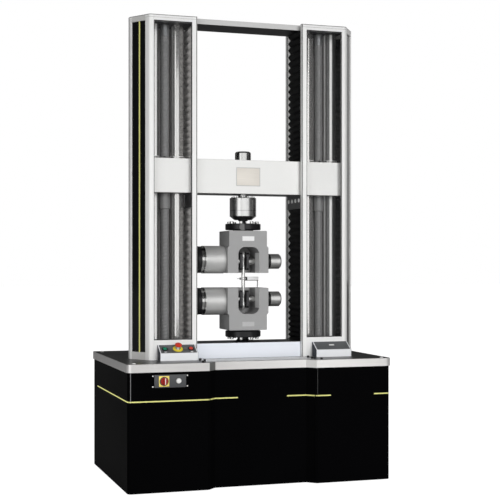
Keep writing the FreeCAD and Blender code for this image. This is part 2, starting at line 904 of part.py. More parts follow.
def barrel():
    """Left-hand actuator barrel with its ring and end cap, bored off centre for the piston."""
    face = -grip_half_width
    end = face - barrel_length
    cap = end + barrel_cap_width
    ring = cap + barrel_ring_width
    outer = barrel_radius
    profile = [(end, 0), (end, outer - 4), (end + 4, outer - 1), (cap - 1, outer - 1), (cap, outer - barrel_groove),
               (ring - 3, outer - barrel_groove), (ring, outer), (face, outer), (face, 0)]
    solid = turned_x(profile, 0, grip_height(piston_offset + barrel_rise))
    return solid.cut(piston_room(-1))


def small_barrel():
    """Right-hand cylinder with a flange against the housing and a bevelled end."""
    face = grip_half_width
    flange = face + small_barrel_flange
    end = face + small_barrel_length
    outer = small_barrel_radius
    rim = small_barrel_flange_radius
    profile = [(face, 0), (face, rim), (flange - 2, rim), (flange, rim - 2), (flange, outer),
               (end - small_barrel_bevel, outer), (end, outer - small_barrel_bevel), (end, 0)]
    solid = turned_x(profile, 0, grip_height(piston_offset))
    return solid.cut(piston_room(1))


def piston_room(side):
    """Bore for the rod, and the wider chamber that its piston works in."""
    axis = grip_height(piston_offset)
    start = grip_half_width
    chamber = (start + piston_length / 2, start + 1.5 * piston_length + jaw_stroke + 2 * piston_length)
    rod_end = start + piston_length
    x_range = sorted((side * (start - 1), side * rod_end))
    chamber_range = sorted((side * chamber[0], side * chamber[1]))
    rod_hole = rod_x(x_range, 0, axis, rod_radius + running_clearance)
    return [rod_hole, rod_x(chamber_range, 0, axis, piston_radius + running_clearance)]


def jaw(side):
    """Jaw plate with a toothed face on its piston rod. The face rests against the specimen's head."""
    axis = grip_height(piston_offset)
    face = specimen_x + side * (specimen_head_radius + jaw_clearance)
    back = face + side * jaw_plate_thick
    low = axis - jaw_plate_half_height
    high = axis + jaw_plate_half_height
    half = jaw_plate_half_depth
    corner = jaw_plate_radius
    plate = prism_x([(-half, low, corner), (half, low, corner), (half, high, corner), (-half, high, corner)],
                    *sorted((face, back)))
    teeth = []
    count = int(2 * (jaw_plate_half_height - corner) / jaw_tooth_pitch)
    for index in range(count):
        z = axis + (index - (count - 1) / 2) * jaw_tooth_pitch
        groove = block(sorted((face, face + side * jaw_tooth_depth)), (-half, half), about(z, jaw_tooth_pitch / 3))
        teeth.append(groove)
    plate = plate.cut(teeth)
    head = side * (grip_half_width + 0.75 * piston_length)
    rod = rod_x(sorted((back, head)), 0, axis, rod_radius)
    piston = rod_x(sorted((head, head + side * piston_length)), 0, axis, piston_radius)
    return joined(plate, rod, piston)


def inverted(shape):
    """The lower grip's copy of an upper grip's piece."""
    return shape.mirror(V(0, 0, grip_middle_z), V(0, 0, 1))


def grips():
    pieces = {"grip_flange": grip_flange(), "grip_body": grip_body(), "left_cylinder": barrel(),
              "right_cylinder": small_barrel(), "left_jaw": jaw(-1), "right_jaw": jaw(1)}
    for name, shape in pieces.items():
        save("upper_" + name, at_frame(shape))
        save("lower_" + name, at_frame(inverted(shape)))


def specimen():
    """Round tensile bar whose heads lie between the jaws of both grips."""
    low = grip_middle_z - specimen_half_length
    high = grip_middle_z + specimen_half_length
    waist = specimen_gauge_half + specimen_blend
    head = specimen_head_radius
    gauge = specimen_gauge_radius
    profile = [(0, low), (head - 2, low), (head, low + 2), (head, grip_middle_z - waist),
               (gauge, grip_middle_z - specimen_gauge_half), (gauge, grip_middle_z + specimen_gauge_half),
               (head, grip_middle_z + waist), (head, high - 2), (head - 2, high), (0, high)]
    save("specimen", at_frame(turned(profile, specimen_x, 0)))


def extensometer():
    """Gauge box with two arms against the bar, a spring clip round it and a leg down to the lower grip."""
    bottom = gauge_box_bottom
    top = bottom + gauge_box_height
    end = gauge_box_start + gauge_box_length
    half = gauge_box_half_depth
    box = prism_x([(-half, bottom, 4), (half, bottom, 4), (half, top, 4), (-half, top, 4)], gauge_box_start, end)
    arm = gauge_arm_half
    touch = specimen_x + specimen_gauge_radius + jaw_clearance
    arms = []
    for z in (bottom + arm, top - arm):
        arms.append(block((touch, gauge_box_start), (-arm, arm), (z - arm, z + arm)))
    clip_inner = specimen_gauge_radius + jaw_clearance
    middle = bottom + gauge_box_height / 2
    clip = rod_z(specimen_x, 0, (middle - arm, middle + arm), clip_inner + arm)
    clip = clip.cut(rod_z(specimen_x, 0, (middle - arm, middle + arm), clip_inner))
    grip_top = 2 * grip_middle_z - grip_height(grip_near)
    link = block((touch + arm / 2, gauge_box_start), (-arm, arm), (middle - arm, middle + arm))
    leg = rod_z(end - 3 * gauge_support_radius, 0, (grip_top, bottom), gauge_support_radius)
    save("extensometer", at_frame(joined(box, *arms, clip, link, leg)))


# Control consoles on the tray in front of the columns
panel_slope = math.atan2(console_back_height - console_front_height, console_depth)


def on_console(shape, x):
    """Stand a shape, drawn about an upright axis, on the middle of a console's sloping panel."""
    placed = shape.copy()
    placed.rotate(V(0, 0, 0), V(1, 0, 0), math.degrees(panel_slope))
    middle_z = tray_top + (console_front_height + console_back_height) / 2
    placed.translate(V(x, frame_y - column_half_depth - console_depth / 2, middle_z))
    return placed


def console(x):
    back = frame_y - column_half_depth
    front = back - console_depth
    sheet = console_sheet
    outline = [(front, tray_top, 0), (back, tray_top, 0), (back, tray_top + console_back_height, 0),
               (front, tray_top + console_front_height, 3)]
    ends = about(x, console_width)
    shell = prism_x(outline, *ends)
    inner_back = back - sheet
    rise = math.tan(panel_slope)
    drop = sheet / math.cos(panel_slope)
    inner_front = front + sheet
    room = [(inner_front, tray_top, 0), (inner_back, tray_top, 0),
            (inner_back, tray_top + console_back_height - sheet * rise - drop, 0),
            (inner_front, tray_top + console_front_height + sheet * rise - drop, 0)]
    return shell.cut(prism_x(room, ends[0] + sheet, ends[1] - sheet))


def consoles():
    places = [left_console_x - button_pitch, left_console_x, left_console_x + button_pitch]
    radii = [button_radius, estop_neck_radius, button_radius]
    left = console(left_console_x)
    for x, radius in zip(places, radii):
        left = left.cut(on_console(rod_z(0, 0, (-button_depth, button_depth), radius + hole_clearance), x))
    save("left_console", left)
    save("right_console", console(right_console_x))
    button = joined(rod_z(0, 0, (-button_depth, button_head_height - 1), button_radius),
                    Part.makeCone(button_radius, button_radius - 1, 1, V(0, 0, button_head_height - 1)))
    save("start_button", on_console(button, places[0]))
    save("stop_button", on_console(button, places[2]))
    head = estop_neck_height
    top = head + estop_head_height
    rim = estop_head_radius
    profile = [(0, -button_depth), (estop_neck_radius, -button_depth), (estop_neck_radius, head), (rim - 1, head),
               (rim, head + 1), (rim, head + 5), (0.82 * rim, top - 2.5), (0.55 * rim, top - 0.7), (0, top)]
    save("estop_button", on_console(turned(profile, 0, 0), places[1]))


# Main switch and pilot lamp on the front of the cabinet
def turned_forward(points, x, y, z):
    """Solid turned about an axis that points to the front, from points given as radius and distance forward."""
    solid = turned(points, 0, 0)
    solid.rotate(V(0, 0, 0), V(1, 0, 0), 90)
    solid.translate(V(x, y, z))
    return solid


def main_switch():
    face = -half_depth
    front = face - switch_plate_thick
    across = about(switch_plate_x, switch_plate_width)
    low, high = about(switch_plate_z, switch_plate_height)
    plate = prism_y([(across[0], low, 6), (across[1], low, 6), (across[1], high, 6), (across[0], high, 6)], front, face)
    square_x = about(switch_knob_x, switch_square)
    square = block(square_x, (front - switch_square_thick, front), about(switch_plate_z, switch_square))
    shaft_hole = hole_y(switch_knob_x, switch_plate_z, switch_shaft_radius + hole_clearance,
                        (front - switch_square_thick, face))
    lamp_hole = hole_y(pilot_x, switch_plate_z, pilot_neck_radius + hole_clearance, (front, face))
    save("switch_plate", plate.cut([shaft_hole, lamp_hole]), square.cut(shaft_hole))
    seat = switch_face_y
    height = switch_knob_height
    rim = switch_knob_radius
    profile = [(0, -switch_shaft_depth), (switch_shaft_radius, -switch_shaft_depth), (switch_shaft_radius, 0),
               (rim, 0), (rim, height - 2), (rim - 2, height), (0, height)]
    knob = turned_forward(profile, switch_knob_x, seat, switch_plate_z)
    grip_y = (seat - height - switch_grip_height, seat - height)
    half_bar = switch_grip_width / 2
    bar_end = rim - 2
    bar = prism_y([(-half_bar, -bar_end, half_bar), (half_bar, -bar_end, half_bar), (half_bar, bar_end, half_bar),
                   (-half_bar, bar_end, half_bar)], *grip_y)
    bar.translate(V(switch_knob_x, 0, switch_plate_z))
    save("main_switch_knob", joined(knob, bar))
    lamp = [(0, -switch_shaft_depth), (pilot_neck_radius, -switch_shaft_depth), (pilot_neck_radius, 0),
            (pilot_radius, 0), (pilot_radius, 3), (pilot_neck_radius, pilot_height - 2),
            (0.6 * pilot_neck_radius, pilot_height), (0, pilot_height)]
    save("pilot_lamp", turned_forward(lamp, pilot_x, front, switch_plate_z))


# Belt drive
def pulley(x, y, radius, bore, level):
    """Flanged pulley on its shaft."""
    low, high = level
    rim = radius + pulley_flange
    profile = [(bore, low), (rim, low), (rim, low + pulley_flange_thick), (radius, low + pulley_flange_thick),
               (radius, high - pulley_flange_thick), (rim, high - pulley_flange_thick), (rim, high), (bore, high)]
    return turned(profile, x, y)


def belt_loop(circles):
    """Outline of a belt round circles given counter-clockwise as x, y and radius."""
    angles = []
    count = len(circles)
    for index, (x, y, radius) in enumerate(circles):
        next_x, next_y, next_radius = circles[(index + 1) % count]
        run = math.hypot(next_x - x, next_y - y)
        heading = math.atan2(next_y - y, next_x - x)
        angles.append(heading - math.acos((radius - next_radius) / run))
    edges = []
    for index, (x, y, radius) in enumerate(circles):
        turn = (angles[index] - angles[index - 1]) % (2 * math.pi)
        bearings = (angles[index - 1], angles[index - 1] + turn / 2, angles[index])
        start, middle, end = [V(x + radius * math.cos(a), y + radius * math.sin(a), 0) for a in bearings]
        edges.append(Part.Arc(start, middle, end).toShape())
        next_x, next_y, next_radius = circles[(index + 1) % count]
        leave = angles[index]
        onward = V(next_x + next_radius * math.cos(leave), next_y + next_radius * math.sin(leave), 0)
        edges.append(Part.makeLine(end, onward))
    return Part.Face(Part.Wire(edges))


def belt_drive():
    level = about(belt_z, pulley_width)
    bore = screw_journal_radius
    for side, x in screw_places.items():
        save(side + "_screw_pulley", pulley(x, frame_y, screw_pulley_radius, bore, level))
    save("motor_pulley", pulley(0, motor_y, motor_pulley_radius, motor_shaft_radius, level),
         rod_z(0, motor_y, (bridge_level[0] - motor_plate_thick, level[1]), motor_shaft_radius))
    places = [(-screw_x, frame_y, screw_pulley_radius), (screw_x, frame_y, screw_pulley_radius),
              (0, motor_y, motor_pulley_radius)]
    faces = []
    for outward in (belt_clearance, belt_clearance + belt_thick):
        faces.append(belt_loop([(x, y, radius + outward) for x, y, radius in places]))
    belt = faces[1].cut(faces[0]).extrude(V(0, 0, belt_width))
    belt.translate(V(0, 0, belt_z - belt_width / 2))
    save("drive_belt", belt)


def drive_motor():
    """Motor hung under the bridge, with cooling ribs round its case and a recess for the shaft."""
    top = bridge_level[0]
    flange = block(about(0, motor_plate_size), about(motor_y, motor_plate_size), (top - motor_plate_thick, top))
    case_top = top - motor_plate_thick
    profile = [(0, case_top - motor_length), (motor_radius - 8, case_top - motor_length),
               (motor_radius, case_top - motor_length + 8)]
    ribs = 8
    rib_pitch = (motor_length - 60) / ribs
    for index in range(ribs):
        z = case_top - motor_length + 30 + index * rib_pitch
        profile += [(motor_radius, z), (motor_radius - 4, z), (motor_radius - 4, z + rib_pitch / 2),
                    (motor_radius, z + rib_pitch / 2)]
    profile += [(motor_radius, case_top), (0, case_top)]
    motor = joined(turned(profile, 0, motor_y), flange)
    bore = rod_z(0, motor_y, (top - 2 * motor_plate_thick, top), motor_shaft_radius + motor_shaft_clearance)
    save("drive_motor", motor.cut(bore))


cabinet_panels()
top_tray()
base_frame()
levelling_feet()
base_crosshead()
guide_columns()
top_beam()
crosshead()
guide_bushes()
ball_nuts()
ball_screws()
screw_bearings()
column_posts()
column_side_panels()
column_rear_covers()
window_frames()
column_windows()
column_end_frames()
bellows()
bellows_brackets()
crosshead_cap()
load_cell()
upper_grip_stem()
lower_grip_foot()
grips()
specimen()
extensometer()
consoles()
main_switch()
belt_drive()
drive_motor()
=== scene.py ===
import math
import random

import bmesh
import bpy
from mathutils import Matrix, Vector


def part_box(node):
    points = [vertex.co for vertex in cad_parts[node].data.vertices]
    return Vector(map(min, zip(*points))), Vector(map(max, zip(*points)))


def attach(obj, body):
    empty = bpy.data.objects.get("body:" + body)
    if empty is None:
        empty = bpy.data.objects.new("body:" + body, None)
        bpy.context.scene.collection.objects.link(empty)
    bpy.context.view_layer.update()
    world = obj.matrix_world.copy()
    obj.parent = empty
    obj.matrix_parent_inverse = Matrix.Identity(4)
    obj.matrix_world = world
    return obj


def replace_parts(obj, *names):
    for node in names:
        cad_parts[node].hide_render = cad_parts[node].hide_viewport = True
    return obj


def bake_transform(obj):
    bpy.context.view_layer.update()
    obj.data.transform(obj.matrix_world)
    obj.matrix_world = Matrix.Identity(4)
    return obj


# Looks of a floor-standing testing machine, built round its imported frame.
# All lengths are in metres, in the same frame as the solids: X right, Y back, Z up.

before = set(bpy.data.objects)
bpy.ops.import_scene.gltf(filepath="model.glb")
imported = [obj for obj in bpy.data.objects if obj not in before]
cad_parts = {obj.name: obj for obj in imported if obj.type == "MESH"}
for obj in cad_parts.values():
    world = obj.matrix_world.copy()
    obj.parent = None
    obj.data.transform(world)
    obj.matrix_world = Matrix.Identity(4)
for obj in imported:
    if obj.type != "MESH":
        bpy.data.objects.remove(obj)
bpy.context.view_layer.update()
chance = random.Random(7)

FRAME_BODY = "machine_frame"
HEAD_BODY = "crosshead_group"
SIDES = (-1, 1)
SIDE_NAMES = {-1: "left", 1: "right"}
OUTWARD_FRONT = (0, -1, 0)
UP = (0, 0, 1)
DOWN = (0, 0, -1)


# Shader building
def add_node(tree, kind, inputs=(), **settings):
    """Shader node with its inputs. Another node's output gets linked, and any other value set."""
    made = tree.nodes.new(kind)
    for name, value in settings.items():
        setattr(made, name, value)
    for name, value in inputs:
        if isinstance(value, bpy.types.NodeSocket):
            tree.links.new(value, made.inputs[name])
        else:
            made.inputs[name].default_value = value
    return made


def math_of(tree, operation, *values):
    return add_node(tree, "ShaderNodeMath", enumerate(values), operation=operation).outputs[0]


def mix_of(tree, kind, share, first, second):
    """Blend of two colours, for kind RGBA, or of two numbers, for kind FLOAT."""
    inputs = (("Factor", share), ("A", first), ("B", second))
    return add_node(tree, "ShaderNodeMix", inputs, data_type=kind).outputs["Result"]


def parts_of(tree, vector):
    return add_node(tree, "ShaderNodeSeparateXYZ", [(0, vector)]).outputs


def even(value):
    """Three equal numbers from one. Three given numbers stay."""
    return value if isinstance(value, tuple) else (value, value, value)


def noise_at(tree, where, grain, detail=3.0):
    """Noise whose size is set by grain, in cycles to a metre, as one number or as one for each axis."""
    mapping = add_node(tree, "ShaderNodeMapping", [("Vector", where), ("Scale", even(grain))])
    inputs = (("Vector", mapping.outputs["Vector"]), ("Scale", 1.0), ("Detail", detail))
    return add_node(tree, "ShaderNodeTexNoise", inputs).outputs["Fac"]


def ranged(tree, value, low, high, start=0.3, end=0.7):
    """Spreads a value from a range, by default that of noise, over another range."""
    inputs = (("Value", value), ("From Min", start), ("From Max", end), ("To Min", low), ("To Max", high))
    return add_node(tree, "ShaderNodeMapRange", inputs).outputs["Result"]


def scaled(colour, share):
    return tuple(min(1.0, channel * share) for channel in even(colour)) + (1.0,)


def with_level_face(tree, colour_out, variation, way, colour):
    """Painted shade: another colour where the true surface looks up (way 1) or down (way -1)."""
    normal = add_node(tree, "ShaderNodeNewGeometry").outputs["True Normal"]
    facing = math_of(tree, "MULTIPLY", parts_of(tree, normal)["Z"], way)
    painted_face_shade = mix_of(tree, "RGBA", variation, scaled(colour, 0.9), scaled(colour, 1.1))
    return mix_of(tree, "RGBA", math_of(tree, "GREATER_THAN", facing, 0.95), colour_out, painted_face_shade)


def within(tree, where, axis, low, high, either_side=False):
    """1 where a coordinate lies between two values, 0 elsewhere. either_side ignores its sign."""
    value = parts_of(tree, where)[axis]
    if either_side:
        value = math_of(tree, "ABSOLUTE", value)
    return math_of(tree, "COMPARE", value, (low + high) / 2, (high - low) / 2)


def add_zone(material, axis, low, high, colour, roughness, metallic=0.0, either_side=False, also=None):
    """Gives a band of a surface, between two coordinates, another colour and gloss. The script uses it for
    real bands and for painted light, shade and reflections.

    also holds an axis and two more coordinates, which narrow the band.
    """
    tree = material.node_tree
    where = next(node for node in tree.nodes if node.bl_idname == "ShaderNodeTexCoord").outputs["Object"]
    mask = within(tree, where, axis, low, high, either_side)
    if also:
        mask = math_of(tree, "MULTIPLY", mask, within(tree, where, *also))
    for name, value in (("Base Color", scaled(colour, 1)), ("Roughness", roughness), ("Metallic", metallic)):
        target = tree.nodes["Principled BSDF"].inputs[name]
        before = target.links[0].from_socket if target.is_linked else target.default_value
        kind = "RGBA" if name == "Base Color" else "FLOAT"
        tree.links.new(mix_of(tree, kind, mask, before, value), target)


def dress(material, nodes):
    """Puts a finish on solids."""
    for name in nodes:
        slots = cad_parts[name].data.materials
        slots.clear()
        slots.append(material)


def blank_finish(name):
    material = bpy.data.materials.new(name)
    material.use_nodes = True
    tree = material.node_tree
    where = add_node(tree, "ShaderNodeTexCoord").outputs["Object"]
    return material, tree, tree.nodes["Principled BSDF"], where


def finish(name, colour, roughness, metallic=0.0, drift=0.06, grain=7, rough_spread=0.05, fine=900, bump=0.0,
           bump_depth=0.0002, edge=0.0, painted_level_shade=None, on=(), **extra):
    """Procedural finish: a slow drift of tone, a varied roughness, a fine relief and softened edges.

    painted_level_shade gives faces that look straight up (1) or straight down (-1) another colour, painted
    shade.
    on lists the solids that wear the finish.
    """
    material, tree, shader, where = blank_finish(name)
    shader.inputs["Metallic"].default_value = metallic
    for socket, value in extra.items():
        shader.inputs[socket.replace("_", " ")].default_value = value
    slow = noise_at(tree, where, grain)
    quick = noise_at(tree, where, fine, 2.0)
    both = math_of(tree, "MULTIPLY_ADD", quick, 0.5, math_of(tree, "MULTIPLY", slow, 0.5))
    share = ranged(tree, both, 0.0, 1.0)
    tone = mix_of(tree, "RGBA", share, scaled(colour, 1 - drift), scaled(colour, 1 + drift))
    if painted_level_shade:
        tone = with_level_face(tree, tone, both, *painted_level_shade)
    tree.links.new(tone, shader.inputs["Base Color"])
    rough = ranged(tree, both, max(0.02, roughness - rough_spread), roughness + rough_spread)
    tree.links.new(rough, shader.inputs["Roughness"])
    if bump or edge:
        inputs = (("Strength", bump), ("Distance", bump_depth), ("Height", quick))
        relief = add_node(tree, "ShaderNodeBump", inputs)
        if edge:
            bevel = add_node(tree, "ShaderNodeBevel", [("Radius", edge)], samples=4)
            tree.links.new(bevel.outputs["Normal"], relief.inputs["Normal"])
        tree.links.new(relief.outputs["Normal"], shader.inputs["Normal"])
    dress(material, on)
    return material


# Kinds of surface. A grain of three numbers holds cycles to a metre along X, Y and Z.
ALONG_X = (12, 900, 900)
ALONG_Z = (900, 900, 12)
ROUND_X = (1200, 10, 10)
ROUND_Z = (10, 10, 1200)
TAPE_COLOUR = (0.80, 0.79, 0.27)
TAPE = {"drift": 0.05, "grain": 12}
EXTRUDED = {"metallic": 0.15, "drift": 0.04, "grain": (5, 5, 1.5), "fine": ALONG_Z, "bump_depth": 0.00012}
PAINTED = {"drift": 0.03, "grain": 4, "fine": 500, "bump": 0.10}
GUIDE = {"metallic": 0.84, "drift": 0.05, "grain": (6, 6, 2), "rough_spread": 0.03, "fine": ROUND_Z,
         "bump": 0.06, "bump_depth": 0.00008}
TURNED = {"metallic": 1.0, "grain": 10, "fine": ROUND_Z, "bump": 0.12, "bump_depth": 0.0001, "edge": 0.0008}
BARREL = {"grain": 8, "fine": ROUND_X, "bump": 0.20, "bump_depth": 0.00012, "edge": 0.001}
OXIDE = {"drift": 0.15, "rough_spread": 0.06, "bump": 0.12}
FABRIC = {"grain": 12, "bump": 0.25}
MOULDED = {"drift": 0.05, "grain": 30, "fine": 1200, "bump": 0.05}
PLATE = {"drift": 0.04, "grain": 20, "bump": 0.05}
CONSOLE = {"grain": 8, "fine": 1500, "bump": 0.25}

# Finishes
black_gloss = finish("black_gloss", (0.0018, 0.0018, 0.0021), 0.20, drift=0.2, grain=2, fine=300, bump=0.03,
       rough_spread=0.03, Specular_IOR_Level=0.002,
       on=["front_panel_left", "front_panel_center", "front_panel_right", "side_panels", "rear_panel"])
finish("black_column_panel", (0.0024, 0.0026, 0.0032), 0.08, drift=0.2, grain=(3, 3, 1), fine=(400, 400, 60),
       bump=0.02, rough_spread=0.02, on=["column_side_panels"])
stripe_yellow = finish("stripe_yellow", TAPE_COLOUR, 0.38, **TAPE)
# The side tape glows faintly: painted light, standing in for the light it would catch at a flat angle
painted_glow_tape = finish("side_tape_painted_glow", TAPE_COLOUR, 0.38, Emission_Color=scaled(TAPE_COLOUR, 1),
       Emission_Strength=0.55, **TAPE)
# Painted highlight: a grey strip on the black cabinet's left front corner
corner_painted_highlight = finish("corner_painted_highlight", (0.22, 0.22, 0.23), 0.40, grain=12)
# Painted highlight: a faint grey strip on the edge of the right front seam
seam_painted_highlight = finish("seam_painted_highlight", 0.06, 0.40, grain=12)
# The tray's top faces get painted shade, a darker colour where they look up.
tray_steel = finish("tray_stainless", (0.80, 0.785, 0.77), 0.34, 0.62, 0.08, 3, 0.06, ALONG_X, 0.18, 0.0001,
       painted_level_shade=(1, (0.038, 0.037, 0.036)), on=["top_tray"])
extrusion = finish("anodised_extrusion", (0.86, 0.86, 0.85), 0.42, bump=0.16, edge=0.0015,
       on=["left_column_posts", "right_column_posts"], **EXTRUDED)
window_alu = finish("window_extrusion", (0.82, 0.82, 0.815), 0.42, bump=0.12, on=["window_frames"],
       **EXTRUDED)
# Painted shade: the crosshead's and top beam's undersides, and the base beam's top, are painted darker.
finish("off_white_paint", (0.80, 0.80, 0.785), 0.42, edge=0.002, painted_level_shade=(-1, (0.02, 0.02, 0.021)),
       on=["crosshead"], **PAINTED)
finish("top_beam_paint", (0.56, 0.56, 0.555), 0.42, edge=0.001, painted_level_shade=(-1, (0.012, 0.012, 0.013)),
       Specular_IOR_Level=0.1, on=["top_beam"], **PAINTED)
finish("base_beam_paint", (0.77, 0.80, 0.86), 0.34, edge=0.002, painted_level_shade=(1, (0.035, 0.035, 0.038)),
       on=["base_crosshead"], **PAINTED)
cap_grey = finish("end_frame_grey", (0.66, 0.655, 0.64), 0.42, 0.15, 0.05, 4, fine=500, bump=0.1,
       edge=0.0015, on=["column_end_frames"])
cover_grey = finish("cover_grey", (0.52, 0.515, 0.51), 0.5, grain=3, fine=400, bump=0.08,
       on=["column_rear_covers"])
finish("ground_steel", (0.55, 0.545, 0.535), 0.13, on=["guide_bushes", "specimen"], **GUIDE)
guide_steel = finish("guide_steel", (0.55, 0.545, 0.535), 0.13, on=["guide_columns"], **GUIDE)
thread_steel = finish("screw_steel", 0.24, 0.45, 0.4, 0.08, 8, fine=700, bump=0.06,
       on=["left_ball_screw", "right_ball_screw", "ball_nuts"])
finish("polished_turned_steel", (0.52, 0.52, 0.51), 0.20, on=["crosshead_cap"], **TURNED)
cell_steel = finish("load_cell_steel", (0.64, 0.64, 0.63), 0.30, on=["load_cell"], **TURNED)
barrel_steel = finish("actuator_barrel", (0.70, 0.70, 0.69), 0.40, 0.62, 0.07, rough_spread=0.06,
       on=["upper_left_cylinder", "lower_left_cylinder"], **BARREL)
small_barrel_steel = finish("small_barrel_steel", (0.58, 0.58, 0.57), 0.30, 0.85, 0.05,
       on=["upper_right_cylinder", "lower_right_cylinder"], **BARREL)
grip_nickel = finish("grip_housing", 0.36, 0.5, 0.2, grain=6, rough_spread=0.06, bump=0.16, edge=0.002,
       on=["upper_grip_body", "lower_grip_body"])
black_oxide = finish("black_oxide", (0.016, 0.016, 0.017), 0.34, 0.4, grain=10, edge=0.001, **OXIDE,
       on=["upper_grip_flange", "lower_grip_flange", "upper_grip_stem", "lower_grip_foot"])
jaw_steel = finish("jaw_steel", (0.05, 0.05, 0.052), 0.30, 0.8, grain=20, edge=0.0008,
       on=["upper_left_jaw", "upper_right_jaw", "lower_left_jaw", "lower_right_jaw"], **OXIDE)
# The light welts and the lining on the folds' outward faces are partly their own colour, partly painted light
# where little lamp light reaches inside the columns
welt = finish("bellows_welt", (0.90, 0.90, 0.88), 0.6, 0.0, 0.12, 12, 0.06, bump=0.2)
painted_light_lining = finish("bellows_lining", (0.86, 0.84, 0.82), 0.6, drift=0.15, rough_spread=0.06, fine=1200,
       **FABRIC)
rubber = finish("bellows_fabric", (0.0045, 0.0045, 0.005), 0.55, drift=0.25, rough_spread=0.08, fine=1400,
       Specular_IOR_Level=0.12, **FABRIC)
finish("base_frame_paint", (0.055, 0.058, 0.065), 0.5, 0.0, 0.1, 5, 0.06, 300, 0.15, on=["base_frame"])
finish("zinc_plate", (0.40, 0.41, 0.42), 0.36, 0.9, 0.12, 15, 0.08, bump=0.1,
       on=["screw_bearings", "levelling_feet"])
finish("bracket_grey", (0.115, 0.117, 0.12), 0.45, 0.3, 0.08, 15, 0.06, bump=0.1, on=["bellows_brackets"])
finish("console_light", (0.82, 0.83, 0.85), 0.40, 0.0, 0.03, 8, fine=1500, bump=0.22, edge=0.0012,
       on=["left_console", "right_console"])
console_dark = finish("console_dark", (0.105, 0.110, 0.115), 0.42, **CONSOLE)
console_cheek = finish("console_cheek", (0.026, 0.032, 0.048), 0.5, drift=0.08, Specular_IOR_Level=0.2,
       **CONSOLE)
finish("switch_knob_red", (0.34, 0.012, 0.008), 0.32, edge=0.0008, on=["main_switch_knob"], **MOULDED)
red = finish("red_plastic", (0.66, 0.048, 0.024), 0.28, edge=0.0008, on=["estop_button", "stop_button"],
       **MOULDED)
finish("green_plastic", (0.015, 0.24, 0.13), 0.25, grain=30, fine=1200, bump=0.05, on=["start_button"])
plate_yellow = finish("plate_yellow", (0.80, 0.66, 0.045), 0.35, **PLATE)
switch_yellow = finish("switch_yellow", (0.90, 0.72, 0.16), 0.36, **PLATE)
carrier_grey = finish("carrier_grey", (0.068, 0.070, 0.074), 0.45, drift=0.07, grain=20, fine=1300, bump=0.2)
white_plastic = finish("white_plastic", (0.84, 0.84, 0.83), 0.32, drift=0.03, grain=20, fine=1200, bump=0.05,
       on=["pilot_lamp"])
label_white = finish("label_film", 0.80, 0.38, drift=0.03, grain=40)
label_grey = finish("label_grey", 0.46, 0.42, drift=0.08, grain=60, fine=700)
plate_beige = finish("name_plate_metal", (0.74, 0.70, 0.64), 0.36, 0.15, grain=10, rough_spread=0.06,
       fine=ALONG_X, bump=0.08)
chrome = finish("chrome", 0.72, 0.10, 1.0, 0.04, 30, 0.03)
bright_screw = finish("bright_screw", (0.70, 0.70, 0.69), 0.22, 1.0, grain=40)
dark_gasket = finish("gasket", (0.012, 0.012, 0.013), 0.6, drift=0.15, grain=30, rough_spread=0.06)
finish("motor_paint", (0.020, 0.021, 0.023), 0.42, 0.0, 0.1, 12, 0.06, 700, 0.15, on=["drive_motor"])
finish("pulley_aluminium", (0.62, 0.63, 0.64), 0.32, 1.0, 0.06, 12, 0.06, ROUND_Z, 0.15,
       on=["left_screw_pulley", "right_screw_pulley", "motor_pulley"])
finish("belt_rubber", 0.010, 0.65, 0.0, 0.15, 20, 0.06, bump=0.2, on=["drive_belt"])
extensometer_white = finish("extensometer_paint", 0.80, 0.35, drift=0.04, grain=30)
specimen_steel = finish("specimen_steel", (0.82, 0.82, 0.81), 0.20, 0.75, 0.04, 10, fine=ROUND_Z, bump=0.08)
bush_bright = finish("bush_steel", (0.86, 0.86, 0.85), 0.30, 0.3, 0.04, 10, fine=ROUND_Z, bump=0.05)
boss_grey = finish("boss_grey", 0.14, 0.40, 0.3, grain=10)

WINDOW_ALPHA = (0.006, 0.022)


def dress_windows():
    """Clear sheet: nearly all light goes through, and a little of it makes the sheet look milky."""
    material, tree, shader, where = blank_finish("clear_window")
    shader.inputs["Base Color"].default_value = (0.30, 0.30, 0.31, 1.0)
    shader.inputs["Roughness"].default_value = 0.06
    haze = noise_at(tree, where, (3, 3, 1))
    tree.links.new(ranged(tree, haze, *WINDOW_ALPHA), shader.inputs["Alpha"])
    dress(material, ["column_windows"])


dress_windows()

# Bands on the turned and extruded pieces, and on the tray. Some are the parts' own colour; others are painted
# shade, painted light and a painted reflection
DARK = (0.013, 0.013, 0.014)
HEAD_EDGE = ("Z", 2.6965, 2.701)
HEAD_GROOVE = ("Z", 2.6832, 2.6846)
POST_GROOVE = ("X", 0.3240, 0.3284)
BARREL_CAP = ("X", -0.3100, -0.2725)
BARREL_RING = ("X", -0.2725, -0.2485)
JAW_ROD = ("X", 0.0290, 0.4000)
SMALL_FLANGE = ("X", 0.1200, 0.1640)
CELL_SEAM = ("Z", 1.5860, 1.5876)
PAINTED_LIGHT_SLOT_WALL = ("X", 0.0679, 0.0691)
SLOT_WALL_DEPTH = ("Y", -0.2221, -0.1430)
LEFT_SLANT_PAINTED_SHADE = ("X", -0.3205, -0.2755)
SLANT_DEPTH = ("Y", -0.5400, -0.4765)
BEAM_PAINTED_REFLECTION = ("Y", -0.4520, -0.2800)
BETWEEN_CONSOLES = ("X", -0.3300, 0.3300)
# On the tray: painted shade on the left slant, and a painted reflection of the base beam between the consoles
add_zone(tray_steel, *LEFT_SLANT_PAINTED_SHADE, (0.17, 0.17, 0.165), 0.4, 0.4, also=SLANT_DEPTH)
add_zone(tray_steel, *BEAM_PAINTED_REFLECTION, 0.92, 0.4, also=BETWEEN_CONSOLES)
# Painted light: the grip pocket's right inner wall is made lighter than the housing
add_zone(grip_nickel, *PAINTED_LIGHT_SLOT_WALL, (0.85, 0.85, 0.84), 0.5, also=SLOT_WALL_DEPTH)
for rail in (extrusion, window_alu, cap_grey):
    add_zone(rail, *HEAD_EDGE, 0.10, 0.5)
